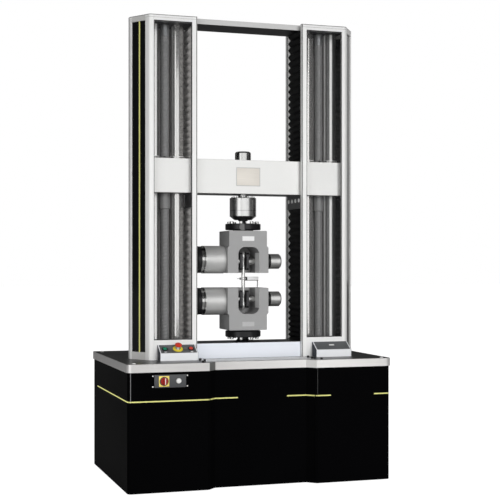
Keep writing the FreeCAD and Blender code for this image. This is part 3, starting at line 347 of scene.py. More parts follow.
# Painted shade: dark bands for grooves that the solids don't have, on the column heads and posts
for rail in (extrusion, window_alu):
    add_zone(rail, *HEAD_GROOVE, 0.30, 0.5)
add_zone(extrusion, *POST_GROOVE, 0.08, 0.5, either_side=True)
add_zone(barrel_steel, *BARREL_CAP, DARK, 0.28, 0.3)
add_zone(barrel_steel, *BARREL_RING, (0.55, 0.55, 0.54), 0.16, 1.0)
add_zone(small_barrel_steel, *SMALL_FLANGE, DARK, 0.35, 0.3)
add_zone(jaw_steel, *JAW_ROD, (0.60, 0.60, 0.59), 0.18, 1.0, either_side=True)
# Painted shade of a groove round the load cell
add_zone(cell_steel, *CELL_SEAM, DARK, 0.4)

# Painted highlights (bright lines) and painted dark reflections (flanks), as a mirror-smooth guide would show
# them in a studio, as ranges of X
PAINTED_GLINTS = ((-0.5490, -0.5360), (0.5185, 0.5225), (0.5435, 0.5590))
PAINTED_FLANKS = ((-0.5360, -0.5150), (0.5225, 0.5435), (0.5590, 0.5960))
for strip in PAINTED_GLINTS:
    add_zone(guide_steel, "X", *strip, (0.93, 0.93, 0.92), 0.35)
for strip in PAINTED_FLANKS:
    add_zone(guide_steel, "X", *strip, 0.13, 0.25, 0.3)


# Mesh helpers
def mesh_object(name, shape, material, body=FRAME_BODY, smooth_under=35.0, outward=False):
    """Object from a bmesh in row coordinates. Edges sharper than the given angle stay crisp."""
    if outward:
        bmesh.ops.recalc_face_normals(shape, faces=shape.faces)
    mesh = bpy.data.meshes.new(name)
    shape.to_mesh(mesh)
    shape.free()
    for polygon in mesh.polygons:
        polygon.use_smooth = True
    mesh.set_sharp_from_angle(angle=math.radians(smooth_under))
    made = bpy.data.objects.new(name, mesh)
    bpy.context.scene.collection.objects.link(made)
    made.data.materials.append(material)
    if body:
        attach(made, body)
    return made


def join_rings(shape, rings, closed=False):
    """Faces between neighbouring rings of vertices. A ring of one vertex is a tip."""
    for lower, upper in zip(rings, rings[1:]):
        count = max(len(lower), len(upper))
        for step in range(count):
            following = (step + 1) % count
            corners = (lower[step % len(lower)], lower[following % len(lower)],
                       upper[following % len(upper)], upper[step % len(upper)])
            unique = list(dict.fromkeys(corners))
            if len(unique) > 2:
                shape.faces.new(unique)
    if closed:
        shape.faces.new(rings[0][::-1])
        shape.faces.new(rings[-1])


def between(shape, outlines):
    """Adds a closed solid between outlines with equal numbers of points."""
    join_rings(shape, [[shape.verts.new(point) for point in outline] for outline in outlines], True)


def rounded_box(shape, low, high, radius=0.0, segments=2, turn=None):
    """Adds a box between two corners to a bmesh, its edges rounded, turned about its middle by a matrix."""
    middle = (Vector(low) + Vector(high)) / 2
    size = Vector(high) - Vector(low)
    placed = Matrix.Translation(middle) @ (turn or Matrix.Identity(4)) @ Matrix.Diagonal((*size, 1))
    made = bmesh.ops.create_cube(shape, size=1.0, matrix=placed)
    if radius:
        edges = {edge for vertex in made["verts"] for edge in vertex.link_edges}
        bmesh.ops.bevel(shape, geom=list(edges), offset=radius, segments=segments, profile=0.5,
                        affect="EDGES", clamp_overlap=True)


def axis_turn(axis):
    return Vector((0, 0, 1)).rotation_difference(Vector(axis)).to_matrix()


def circle(steps):
    return [2 * math.pi * step / steps for step in range(steps)]


def polar(radius, angle, height=0.0):
    return Vector((radius * math.cos(angle), radius * math.sin(angle), height))


def lathe(shape, profile, place, axis, steps=32):
    """Adds a body of revolution to a bmesh. The profile lists radius and height along the axis."""
    turn = axis_turn(axis)
    rings = []
    for radius, height in profile:
        spots = [turn @ polar(radius, angle, height) for angle in circle(steps if radius else 1)]
        rings.append([shape.verts.new(Vector(place) + spot) for spot in spots])
    join_rings(shape, rings)


def revolved(name, profile, place, axis, material, body=FRAME_BODY, steps=32, smooth_under=40, outward=False):
    shape = bmesh.new()
    lathe(shape, profile, place, axis, steps)
    return mesh_object(name, shape, material, body, smooth_under, outward)


def socket_screw(shape, place, axis, radius, height, steps=20):
    """Cap screw with a rounded rim and a hexagonal recess."""
    recess = radius * 0.52
    depth = height * 0.55
    rim = radius * 0.12
    lathe(shape, [(radius, 0), (radius, height - rim), (radius - rim, height)], place, axis, steps)
    turn = axis_turn(axis)
    half_flat = math.radians(30)
    rings = [[], [], []]
    for angle in circle(steps):
        side = half_flat - (angle + half_flat) % (2 * half_flat)
        reach = recess * math.cos(half_flat) / math.cos(side)
        for points, out, z in zip(rings, (radius - rim, reach, reach), (height, height, height - depth)):
            points.append(shape.verts.new(place + turn @ polar(out, angle, z)))
    join_rings(shape, rings)
    shape.faces.new(rings[-1])


def dome_screw(shape, place, axis, radius, height, steps=20):
    """Low round-headed screw."""
    profile = [(radius, 0), (radius, height * 0.25)]
    for share in (0.35, 0.65, 0.88):
        profile.append((radius * math.sqrt(1 - share * share), height * (0.25 + 0.75 * share)))
    lathe(shape, profile + [(0, height)], place, axis, steps)


def screws(name, places, axis, radius, height, material, body=FRAME_BODY, kind=socket_screw):
    shape = bmesh.new()
    for place in places:
        kind(shape, Vector(place), axis, radius, height)
    mesh_object(name, shape, material, body)


def plates(name, boxes, material, body=FRAME_BODY, radius=0.0, segments=2, smooth_under=35):
    shape = bmesh.new()
    for low, high in boxes:
        rounded_box(shape, low, high, radius, segments)
    return mesh_object(name, shape, material, body, smooth_under)


def upright(shape, plan, low, high):
    """Adds an upright solid over a plan of X and Y points."""
    between(shape, [[(x, y, z) for x, y in plan] for z in (low, high)])


def ring(name, place, axis, inner, outer, height, material, body=FRAME_BODY):
    rim = min(0.0006, height * 0.3)
    profile = [(inner, 0), (inner, height - rim), (inner + rim, height), (outer - rim, height),
               (outer, height - rim), (outer, 0), (inner, 0)]
    revolved(name, profile, place, axis, material, body, 40, outward=True)


def ring_places(x, z, radius, count, start=0.0):
    """Places on a level circle about an upright axis in the plane of the columns."""
    return [(x + radius * math.cos(start + angle), FRAME_Y + radius * math.sin(start + angle), z)
            for angle in circle(count)]


def tube_along(shape, points, radius, steps=8):
    """Adds a round bar along a line of points."""
    outlines = []
    for index, spot in enumerate(points):
        turn = axis_turn(direction(points, index))
        outlines.append([spot + turn @ polar(radius, angle) for angle in circle(steps)])
    between(shape, outlines)


def direction(points, index):
    """Way of a line of points at one of them."""
    return (points[min(index + 1, len(points) - 1)] - points[max(index - 1, 0)]).normalized()


def curve(start, middle, end, steps):
    """Smooth line from one point to another, drawn towards a third."""
    shares = [step / steps for step in range(steps + 1)]
    return [start.lerp(middle, share).lerp(middle.lerp(end, share), share) for share in shares]


def box(node):
    """Corners of a solid's box at rest."""
    low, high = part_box(node)
    return Vector(low), Vector(high)


def middle_of(node):
    low, high = box(node)
    return (low + high) / 2


# Places shared with the solids
CABINET_LOW, CABINET_HIGH = box("side_panels")
FRONT_LOW, FRONT_HIGH = box("front_panel_left")
FRONT_FACE = FRONT_LOW.y
TRAY_TOP = box("top_tray")[1].z
FRAME_Y = middle_of("guide_columns").y
HEAD_LOW, HEAD_HIGH = box("crosshead")
COLUMN_HEAD = box("right_column_posts")[1].z
BRACKET_LOW, BRACKET_HIGH = box("bellows_brackets")
BAND_THICK = 0.0006

# Cabinet plan, as the solids have it
RECESS_HALF = 0.2745
RECESS_RUN = 0.047
RECESS_DEPTH = 0.048
CORNER_RADIUS = 0.024
SEAM_X = 0.3255
SEAM_FROM_CORNER = 0.060
SEAM_HALF = 0.0007
ARC_STEPS = 8

# Bellows
FOLD_RISE = 0.0175
FOLD_SHEET = 0.0022
FOLD_PITCH = 0.0400
FOLD_BEND = 0.0042
WELT_WIDTH = 0.009
WELT_EXTRA = 0.0030
END_GAP = 0.001
EDGE_GAP = 0.0015
TIGHTNESS = {"lower": 0.35, "upper": 0.25}


def fold_line(low, high, crest, valley, tight):
    """Centre line of the folded sheet. Folds lie closer together towards the end that carries them."""
    folds = max(2, round((high - low) / FOLD_PITCH))
    weights = []
    for index in range(folds):
        share = index / (folds - 1)
        weights.append(1.0 - tight * (1 - share) ** 2 + chance.uniform(-0.05, 0.05))
    line = []
    z = low
    for weight in weights:
        step = (high - low) * weight / sum(weights)
        line += [Vector((crest, 0, z)), Vector((valley, 0, z + step / 2))]
        z += step
    return line + [Vector((crest, 0, high))]


def rounded_line(corners, reach):
    """Same line with each inner corner replaced by a smooth bend."""
    made = [corners[0]]
    for last, here, following in zip(corners, corners[1:], corners[2:]):
        start = here + (last - here).normalized() * reach
        end = here + (following - here).normalized() * reach
        made += curve(start, here, end, 4)
    return made + [corners[-1]]


def swept_sheet(shape, line, y_low, y_high, thick):
    """Adds a sheet that follows a line in X and Z, across a range of Y."""
    corners = ((1, y_low), (1, y_high), (-1, y_high), (-1, y_low))
    outlines = []
    for index, spot in enumerate(line):
        along = direction(line, index)
        off = Vector((along.z, 0, -along.x)) * (thick / 2)
        outlines.append([(spot.x + off.x * side, y, spot.z + off.z * side) for side, y in corners])
    between(shape, outlines)


def build_bellows(side, level):
    name = f"{SIDE_NAMES[side]}_{level}_bellows"
    low, high = box(name)
    inner = min(abs(low.x), abs(high.x)) + FOLD_SHEET / 2 + WELT_EXTRA
    outer = inner + FOLD_RISE - FOLD_SHEET / 2
    line = fold_line(low.z + END_GAP, high.z - END_GAP, side * inner, side * outer, TIGHTNESS[level])
    path = rounded_line(line, FOLD_BEND)
    shape = bmesh.new()
    swept_sheet(shape, path, low.y + EDGE_GAP, high.y - EDGE_GAP, FOLD_SHEET)
    folds = mesh_object(name + "_folds", shape, rubber, None, 50, True)
    shape = bmesh.new()
    for y_low in (low.y, high.y - WELT_WIDTH):
        swept_sheet(shape, path, y_low, y_low + WELT_WIDTH, FOLD_SHEET + WELT_EXTRA)
    welts = mesh_object(name + "_welts", shape, welt, None, 50, True)
    for made in (folds, welts):
        made.data.materials.append(painted_light_lining)
        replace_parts(made, name)
        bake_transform(made)
    # Fold faces that look away from the machine's middle take the lining: partly painted light
    for polygon in folds.data.polygons:
        if polygon.normal.x * side > 0.2:
            polygon.material_index = 1


for side in SIDES:
    for level in TIGHTNESS:
        build_bellows(side, level)


# Yellow bands on the cabinet and on the left column
STRIPE_LOW = 0.5068
STRIPE_HIGH = 0.5134
CENTRE_GAP = {-1: -0.138, 1: 0.157}
RIGHT_GAP = (0.409, 0.680)


def corner_arc(side):
    """Points and outward directions round a front corner of the cabinet, from its side to its front."""
    points = []
    for step in range(ARC_STEPS + 1):
        angle = math.radians(180 + 90 * step / ARC_STEPS)
        nx, ny = math.cos(angle), math.sin(angle)
        x = CABINET_LOW.x + CORNER_RADIUS + CORNER_RADIUS * nx
        points.append(((-side * x, FRONT_FACE + CORNER_RADIUS + CORNER_RADIUS * ny), (-side * nx, ny)))
    return points


def cabinet_bands(side):
    """Runs of the band on one half of the cabinet, each on one panel."""
    front = FRONT_FACE
    edge = CABINET_LOW.x if side < 0 else CABINET_HIGH.x
    side_seam = front + SEAM_FROM_CORNER
    recess_y = front + RECESS_DEPTH
    bulge = RECESS_HALF + RECESS_RUN
    slant = Vector((RECESS_DEPTH, -RECESS_RUN)).normalized()
    slant_out = (-side * slant.x, slant.y)
    wall, flat = (side, 0), (0, -1)
    inner_end = ((side * (SEAM_X + SEAM_HALF), front), flat)
    panel = [((edge, side_seam - SEAM_HALF), wall)] + corner_arc(side)
    rear = [((edge, CABINET_HIGH.y - SEAM_FROM_CORNER), wall), ((edge, side_seam + SEAM_HALF), wall)]
    centre = [((side * (SEAM_X - SEAM_HALF), front), flat), ((side * bulge, front), flat),
              ((side * bulge, front), slant_out), ((side * RECESS_HALF, recess_y), slant_out),
              ((side * RECESS_HALF, recess_y), flat), ((CENTRE_GAP[side], recess_y), flat)]
    if side < 0:
        return [rear, panel + [inner_end], centre]
    return [rear, [((RIGHT_GAP[0], front), flat), inner_end], panel + [((RIGHT_GAP[1], front), flat)], centre]


def build_cabinet_band():
    corners = ((0, STRIPE_LOW), (BAND_THICK, STRIPE_LOW), (BAND_THICK, STRIPE_HIGH), (0, STRIPE_HIGH))
    shape = bmesh.new()
    for run in cabinet_bands(-1) + cabinet_bands(1):
        between(shape, [[(x + nx * off, y + ny * off, z) for off, z in corners] for (x, y), (nx, ny) in run])
    made = mesh_object("cabinet_band", shape, stripe_yellow, FRAME_BODY, 30, True)
    made.data.materials.append(painted_glow_tape)
    # Tape faces that look along X glow: painted light.
    for polygon in made.data.polygons:
        if abs(polygon.normal.x) > 0.8:
            polygon.material_index = 1


build_cabinet_band()

# Column housings, as the solids have them
CORNER_X = 0.604
OUTER_X = 0.694
HALF_DEPTH = 0.146
OUTER_HALF_WIDTH = 0.016
PANEL_INSET = 0.007
SIDE_RAIL = 0.044
HEAD_RAIL = 0.033
WINDOW_INNER = 0.350
WINDOW_OUTER = 0.582
STILE = 0.003
SILL_Z = 0.831
COLUMN_BAND = (0.0815, 0.0910)


def build_column_bands():
    """Bands on the left column's slanted sides, front and rear."""
    corner = Vector((CORNER_X, -HALF_DEPTH))
    way = (Vector((OUTER_X, -OUTER_HALF_WIDTH)) - corner).normalized()
    inward = Vector((-way.y, way.x))
    start, end = COLUMN_BAND
    plan = [corner + way * along + inward * (PANEL_INSET - lift)
            for along, lift in ((start, BAND_THICK), (end, BAND_THICK), (end, 0), (start, 0))]
    low, high = TRAY_TOP + SIDE_RAIL, COLUMN_HEAD - HEAD_RAIL
    shape = bmesh.new()
    for side in SIDES:
        upright(shape, [(-x, FRAME_Y - side * y) for x, y in plan], low, high)
    mesh_object("column_bands", shape, stripe_yellow, FRAME_BODY, 30, True)


build_column_bands()

# Window gaskets, a dark line round each clear sheet
GASKET = 0.0055
GASKET_DEPTH = (0.0010, 0.0052)


def build_gaskets():
    front = box("window_frames")[0].y
    y_low, y_high = front + GASKET_DEPTH[0], front + GASKET_DEPTH[1]
    low, high = SILL_Z, COLUMN_HEAD - HEAD_RAIL
    boxes = []
    for side in SIDES:
        left, right = sorted((side * (WINDOW_INNER + STILE), side * (WINDOW_OUTER - STILE)))
        strips = ((left, left + GASKET / 2, low, high), (right - GASKET, right, low, high),
                  (left, right, low, low + GASKET), (left, right, high - GASKET, high))
        boxes += [((left, y_low, bottom), (right, y_high, top)) for left, right, bottom, top in strips]
    plates("window_gaskets", boxes, dark_gasket)


build_gaskets()

# Name plate without a name, on the moving crosshead
PLATE_X = (-0.0745, 0.0735)
PLATE_Z = (1.728, 1.838)
PLATE_BORDER = 0.004


def build_name_plate():
    for name, inset, back, front, material, radius in (
            ("name_plate", 0.0, 0.0, 0.0012, cover_grey, 0.0004),
            ("name_plate_face", PLATE_BORDER, 0.0010, 0.0018, plate_beige, 0.0003)):
        low = (PLATE_X[0] + inset, HEAD_LOW.y - front, PLATE_Z[0] + inset)
        high = (PLATE_X[1] - inset, HEAD_LOW.y - back, PLATE_Z[1] - inset)
        plates(name, [(low, high)], material, HEAD_BODY, radius)


build_name_plate()

# Bolts: rings as radius, number and start, and heads as radius and height
CELL_HEIGHT = 0.131
CELL_RING = (0.062, 12, 0.2)
CELL_BOLT = (0.0075, 0.008)
FLANGE_RING = (0.084, 8, 0.35)
FLANGE_BOLT = (0.0105, 0.014)
BRACKET_SCREW = (0.0125, 0.0060)
BRACKET_SCREW_X = 0.324
BRACKET_SCREW_Z = 1.650
TRAY_SCREW = (0.0110, 0.0055)
TRAY_SCREW_X = 0.742
TRAY_SCREW_Y = 0.478


def build_bolts():
    cell_top = box("load_cell")[0].z + CELL_HEIGHT
    screws("load_cell_bolts", ring_places(0, cell_top, *CELL_RING), UP, *CELL_BOLT, bright_screw, HEAD_BODY)
    for name, z, way, body in (("upper", box("upper_grip_flange")[1].z, UP, HEAD_BODY),
                               ("lower", box("lower_grip_flange")[0].z, DOWN, FRAME_BODY)):
        screws(name + "_flange_bolts", ring_places(0, z, *FLANGE_RING), way, *FLANGE_BOLT, bright_screw, body)
    pitch = (BRACKET_HIGH.y - BRACKET_LOW.y) / 4
    rows = [BRACKET_LOW.y + (index + 0.5) * pitch for index in range(4)]
    for side, name in SIDE_NAMES.items():
        places = [(side * BRACKET_SCREW_X, y, BRACKET_SCREW_Z) for y in rows]
        screws(name + "_bracket_screws", places, (-side, 0, 0), *BRACKET_SCREW, white_plastic, HEAD_BODY,
               dome_screw)
    places = [(x * TRAY_SCREW_X, y * TRAY_SCREW_Y, TRAY_TOP) for y in SIDES for x in SIDES]
    screws("tray_screws", places, UP, *TRAY_SCREW, white_plastic, FRAME_BODY, dome_screw)


build_bolts()

# Main switch: grey carrier, yellow square, pointer on the knob, pilot lens with its bezel, and screws
POINTER_X = (0.0010, 0.0052)
POINTER_Z = (-0.0170, 0.0180)
CARRIER_DEPTH = 0.003
SQUARE_DEPTH = 0.005
SQUARE_HALF = 0.029
SWITCH_COLLAR = [(0.0252, 0), (0.0252, 0.0022), (0.0236, 0.0030), (0.0212, 0.0030)]
PILOT_BEZEL = [(0.0105, 0.0005), (0.0105, 0.0070), (0.0120, 0.0076), (0.0142, 0.0050), (0.0147, 0.0),
               (0.0105, 0.0)]
SWITCH_SCREW = (0.0040, 0.0024)
SWITCH_SCREW_OUT = 0.008
SWITCH_SCREW_IN = 0.006


def build_switch():
    low, high = box("switch_plate")
    knob_x, lamp_x = middle_of("main_switch_knob").x, middle_of("pilot_lamp").x
    middle_z = (low.z + high.z) / 2
    carrier_face, square_face = FRONT_FACE - CARRIER_DEPTH, FRONT_FACE - SQUARE_DEPTH
    carrier = plates("switch_carrier", [((low.x, carrier_face, low.z), (high.x, FRONT_FACE, high.z))],
                     carrier_grey, FRAME_BODY, 0.0011, 2, 30)
    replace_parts(carrier, "switch_plate")
    plates("switch_square", [((knob_x - SQUARE_HALF, square_face, middle_z - SQUARE_HALF),
                              (knob_x + SQUARE_HALF, carrier_face, middle_z + SQUARE_HALF))],
           switch_yellow, FRAME_BODY, 0.0006)
    revolved("switch_collar", SWITCH_COLLAR, (knob_x, square_face, middle_z), OUTWARD_FRONT, carrier_grey,
             steps=48)
    grip_face = box("main_switch_knob")[0].y
    plates("switch_pointer", [((knob_x + POINTER_X[0], grip_face - 0.0003, middle_z + POINTER_Z[0]),
                               (knob_x + POINTER_X[1], grip_face + 0.001, middle_z + POINTER_Z[1]))],
           white_plastic, "main_switch_knob", 0.0002, 1, 30)
    revolved("pilot_bezel", PILOT_BEZEL, (lamp_x, carrier_face, middle_z), OUTWARD_FRONT, white_plastic,
             steps=48, outward=True)
    places = [(x, FRONT_FACE, z) for z in (low.z + SWITCH_SCREW_IN, high.z - SWITCH_SCREW_IN)
              for x in (low.x - SWITCH_SCREW_OUT, high.x + SWITCH_SCREW_OUT)]
    screws("switch_screws", places, OUTWARD_FRONT, *SWITCH_SCREW, white_plastic, FRAME_BODY, dome_screw)


build_switch()

# Control consoles: dressed round their sheet-metal boxes
CONSOLE_BACK = 0.087
CONSOLE_FRONT = 0.042
CONSOLE_DEPTH = 0.071
CHEEK = 0.0012
slope = math.atan2(CONSOLE_BACK - CONSOLE_FRONT, CONSOLE_DEPTH)
slope_length = math.hypot(CONSOLE_DEPTH, CONSOLE_BACK - CONSOLE_FRONT)
slope_turn = Matrix.Rotation(slope, 4, "X")
slope_normal = Vector((0, -math.sin(slope), math.cos(slope)))
slope_up = Vector((0, math.cos(slope), math.sin(slope)))


def on_panel(low, x, up_share, lift=0.0):
    """Place on a console's sloping panel: x, a share of the slope from its front edge, and a lift off it."""
    start = Vector((x, low.y, low.z + CONSOLE_FRONT))
    return start + slope_up * (slope_length * up_share) + slope_normal * lift


def sloping_plate(shape, centre, half, radius):
    rounded_box(shape, centre - Vector(half), centre + Vector(half), radius, 1, slope_turn)


def dress_console(node):
    """Dark cheeks, and the shape of the dark panel that lies between them."""
    low, high = box(node)
    front, back, floor = low.y - 0.0002, low.y + CONSOLE_DEPTH, low.z + 0.001
    outline = [(front, floor), (back, floor), (back, low.z + CONSOLE_BACK), (front, low.z + CONSOLE_FRONT)]
    shape = bmesh.new()
    for x_low, x_high in ((low.x - CHEEK, low.x), (high.x, high.x + CHEEK)):
        between(shape, [[(x, y, z) for y, z in outline] for x in (x_low, x_high)])
    mesh_object(node + "_cheeks", shape, console_cheek, FRAME_BODY, 30, True)
    shape = bmesh.new()
    half = ((high.x - low.x) / 2 - 0.006, slope_length / 2 - 0.003, 0.0006)
    sloping_plate(shape, on_panel(low, (low.x + high.x) / 2, 0.5, 0.0006), half, 0.0005)
    return low, (low.x + high.x) / 2, shape


def cut_out(made, cutter):
    """Takes one mesh out of another, and leaves plain mesh data."""
    tool = mesh_object(made.name + "_cutter", cutter, made.data.materials[0], None, outward=True)
    change = made.modifiers.new("cut", "BOOLEAN")
    change.operation = "DIFFERENCE"
    change.object = tool
    change.solver = "EXACT"
    bpy.context.view_layer.update()
    ready = made.evaluated_get(bpy.context.evaluated_depsgraph_get())
    mesh = bpy.data.meshes.new_from_object(ready)
    made.modifiers.clear()
    made.data = mesh
    bpy.data.objects.remove(tool)


BUTTON_PITCH = 0.077
BUTTON_HOLE = 0.0125
CUT_DEPTH = 0.02
BEZEL = (0.0118, 0.0172, 0.0035)
ESTOP_DISC = (0.0118, 0.0290, 0.0024)
ESTOP_COLLAR = (0.0118, 0.0150, 0.0050)
LEGEND_SHARE = 0.155
LEGEND_HALF = (0.0075, 0.0032, 0.0004)
BADGE_HALF = (0.016, 0.006, 0.0005)
ESTOP_NECK = 0.0078
ESTOP_CAP = (0.0232, 0.0338)
ESTOP_RADIUS = 0.0198
ESTOP_SOFT = 0.003


def build_estop(foot):
    """Stop button with a light neck and a thin red cap, both on the pushed body."""
    low, high = ESTOP_CAP
    inner = ESTOP_RADIUS - ESTOP_SOFT
    neck = [(0, 0.0), (ESTOP_NECK, 0.0), (ESTOP_NECK, low), (0, low)]
    cap = [(0, low), (inner, low), (ESTOP_RADIUS, low + ESTOP_SOFT), (ESTOP_RADIUS, high - ESTOP_SOFT),
           (inner, high - 0.0006), (0, high)]
    for name, profile, material, steps in (("neck", neck, white_plastic, 32), ("cap", cap, red, 48)):
        made = revolved("estop_" + name, profile, foot, slope_normal, material, "estop_button", steps,
                        outward=True)
        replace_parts(made, "estop_button")


def build_left_console():
    low, x, shape = dress_console("left_console")
    panel = mesh_object("left_console_panel", shape, console_dark, None, 30)
    spots = {"start": x - BUTTON_PITCH, "estop": x, "stop": x + BUTTON_PITCH}
    cutter = bmesh.new()
    for spot in spots.values():
        hole = [(0, -CUT_DEPTH), (BUTTON_HOLE, -CUT_DEPTH), (BUTTON_HOLE, CUT_DEPTH), (0, CUT_DEPTH)]
        lathe(cutter, hole, on_panel(low, spot, 0.5), slope_normal, 32)
    cut_out(panel, cutter)
    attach(panel, FRAME_BODY)
    legends = bmesh.new()
    for name in ("start", "stop"):
        ring(name + "_bezel", on_panel(low, spots[name], 0.5), slope_normal, *BEZEL, black_oxide)
        sloping_plate(legends, on_panel(low, spots[name], LEGEND_SHARE, 0.0014), LEGEND_HALF, 0.0003)
    ring("estop_disc", on_panel(low, x, 0.5), slope_normal, *ESTOP_DISC, plate_yellow)
    ring("estop_collar", on_panel(low, x, 0.5, ESTOP_DISC[2]), slope_normal, *ESTOP_COLLAR, chrome)
    build_estop(on_panel(low, x, 0.5))
    mesh_object("button_legends", legends, label_white, FRAME_BODY, 30)


def build_right_console():
    low, x, shape = dress_console("right_console")
    mesh_object("right_console_panel", shape, console_dark, FRAME_BODY, 30)
    shape = bmesh.new()
    sloping_plate(shape, on_panel(low, x, 0.55, 0.0016), BADGE_HALF, 0.0004)
    mesh_object("right_console_badge", shape, label_white, FRAME_BODY, 30)


build_left_console()
build_right_console()

# Screw threads: a two-start round groove of the travel that one turn gives
SCREW_LEAD = 0.040
SCREW_STARTS = 2
GROOVE_DEPTH = 0.0022
THREAD_STEP = 0.0050
THREAD_SIDES = 20
JOURNAL = 0.020
UPPER_JOURNAL = 0.067


def build_screw(name):
    low, high = box(name + "_ball_screw")
    place = Vector(((low.x + high.x) / 2, FRAME_Y, 0))
    radius = (high.x - low.x) / 2
    root = radius - GROOVE_DEPTH
    bottom, top = FRONT_HIGH.z, box("top_beam")[0].z - UPPER_JOURNAL
    shape = bmesh.new()
    lathe(shape, [(0, low.z), (JOURNAL, low.z), (JOURNAL, bottom), (root, bottom)], place, UP, THREAD_SIDES)
    lathe(shape, [(root, top), (JOURNAL, top), (JOURNAL, high.z), (0, high.z)], place, UP, THREAD_SIDES)
    rows = int((top - bottom) / THREAD_STEP)
    rings = []
    for row in range(rows + 1):
        z = bottom + (top - bottom) * row / rows
        points = []
        for angle in circle(THREAD_SIDES):
            wave = math.cos(SCREW_STARTS * (2 * math.pi * z / SCREW_LEAD - angle))
            points.append(shape.verts.new(place + polar(radius - GROOVE_DEPTH * max(0.0, wave), angle, z)))
        rings.append(points)
    join_rings(shape, rings)
    made = mesh_object(name + "_screw_thread", shape, thread_steel, name + "_screw", 50)
    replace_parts(made, name + "_ball_screw")


for name in SIDE_NAMES.values():
    build_screw(name)


# Blank labels on the grips
LABEL_X = (-0.036, 0.038)
LABEL_THICK = 0.0006
for node, low, high, material, body in (("upper_grip_body", 1.405, 1.432, label_white, HEAD_BODY),
                                        ("lower_grip_body", 0.900, 0.926, label_grey, FRAME_BODY)):
    face = box(node)[0].y
    plates(node + "_label", [((LABEL_X[0], face - LABEL_THICK, low), (LABEL_X[1], face, high))], material,
           body, 0.0002, 1)


# Specimen, and the collars of the pistons that carry the jaws
SPECIMEN_X = 0.0016
SPECIMEN_GAUGE = 0.0106
SPECIMEN_HALF = [(SPECIMEN_GAUGE, 0.070), (0.0100, 0.080), (0.0062, 0.094), (0.0056, 0.112), (0.0066, 0.126),
                 (0.0104, 0.138), (0.0112, 0.148), (0.0090, 0.160), (0.0040, 0.171)]
COLLARS = {-1: (-0.0258, 0.0125), 1: (0.0290, 0.018)}
COLLAR_RADIUS = 0.0155
COLLAR_RIM = 0.001


def build_specimen():
    """Round bar with a swelling in each pair of jaws, a neck and a thicker middle."""
    low, high = box("specimen")
    half = SPECIMEN_HALF + [(0, (high.z - low.z) / 2)]
    profile = [(radius, -z) for radius, z in reversed(half)] + half
    place = (SPECIMEN_X, FRAME_Y, (low.z + high.z) / 2)
    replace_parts(revolved("specimen_bar", profile, place, UP, specimen_steel, smooth_under=50), "specimen")


def build_jaw_collars(level):
    z = middle_of(level + "_left_jaw").z
    inner = COLLAR_RADIUS - COLLAR_RIM
    for side, (start, length) in COLLARS.items():
        profile = [(0, 0), (inner, 0), (COLLAR_RADIUS, COLLAR_RIM), (COLLAR_RADIUS, length - COLLAR_RIM),
                   (inner, length), (0, length)]
        body = f"{level}_{SIDE_NAMES[side]}_jaw"
        revolved(body + "_collar", profile, (start, FRAME_Y, z), (side, 0, 0), chrome, body, 36)


build_specimen()
build_jaw_collars("upper")
build_jaw_collars("lower")

# Extensometer: gauge body, two arms with knife edges, spring clips round the bar, a bent support
GAUGE_LEFT = 0.022
GAUGE_Z = (1.169, 1.192)
GAUGE_HALF = 0.017
CLIP_GAP = 0.0014
CLIP_TUBE = 0.0009
HANDLE_LENGTH = 0.026
HANDLE_TUBE = 0.0013
LEG_TUBE = 0.0024


def build_extensometer():
    left, right = GAUGE_LEFT, box("extensometer")[1].x
    bottom, top = GAUGE_Z
    middle = (bottom + top) / 2
    start = SPECIMEN_X + SPECIMEN_GAUGE + 0.0003
    loop = SPECIMEN_GAUGE + CLIP_GAP
    clip_end = SPECIMEN_X - loop
    low, high = (left, FRAME_Y - GAUGE_HALF, bottom + 0.003), (right, FRAME_Y + GAUGE_HALF, top)
    body = plates("extensometer_body", [(low, high)], extensometer_white, FRAME_BODY, 0.003, 3, 40)
    shape = bmesh.new()
    blocks = [(left + 0.001, right - 0.001, GAUGE_HALF - 0.001, bottom, bottom + 0.0035, 0.0008),
              (left - 0.003, left + 0.001, GAUGE_HALF - 0.004, bottom + 0.003, top - 0.003, 0.0008),
              (clip_end - 0.010, clip_end - 0.004, 0.004, middle - 0.007, middle + 0.007, 0.001)]
    for z in (bottom + 0.002, top - 0.002):
        blocks.append((start, left, 0.0022, z - 0.0018, z + 0.0018, 0.0004))
        blocks.append((start, start + 0.005, 0.006, z - 0.0024, z + 0.0024, 0.0006))
    for x_low, x_high, half, z_low, z_high, radius in blocks:
        rounded_box(shape, (x_low, FRAME_Y - half, z_low), (x_high, FRAME_Y + half, z_high), radius, 1)
    for z in (middle - 0.005, middle + 0.005):
        centre = Vector((SPECIMEN_X, FRAME_Y, z))
        angles = [math.radians(30 + 12 * step) for step in range(26)]
        tube_along(shape, [centre + polar(loop, angle) for angle in angles], CLIP_TUBE)
    handle = [Vector((x, FRAME_Y, middle)) for x in (clip_end - HANDLE_LENGTH, clip_end)]
    tube_along(shape, handle, HANDLE_TUBE)
    leg = ((right - 0.003, bottom + 0.002), (right + 0.0004, bottom - 0.016),
           (right - 0.004, box("lower_grip_body")[1].z))
    tube_along(shape, curve(*(Vector((x, FRAME_Y, z)) for x, z in leg), 8), LEG_TUBE, 10)
    fittings = mesh_object("extensometer_fittings", shape, black_oxide, FRAME_BODY, 40, True)
    for made in (body, fittings):
        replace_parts(made, "extensometer")


build_extensometer()

# Small black cap screws on the table beside the base beam
TABLE_BOLT = (0.0075, 0.012)
TABLE_BOLTS = ((0.3290, -0.352), (0.3245, -0.430), (0.3540, -0.505))
screws("table_bolts", [(side * x, y, TRAY_TOP) for side in SIDES for x, y in TABLE_BOLTS], UP, *TABLE_BOLT,
       black_oxide)

# Crosshead top: bush rims round the guides, and cap screws round the ball nuts
GUIDES_X = {"inner": 0.407, "outer": 0.557}
SCREW_X = 0.482
NUT_RING = (0.050, 6, 0.3)
NUT_SCREW = (0.0065, 0.014)
BUSH_RIM = (0.0386, 0.0440, 0.0180)


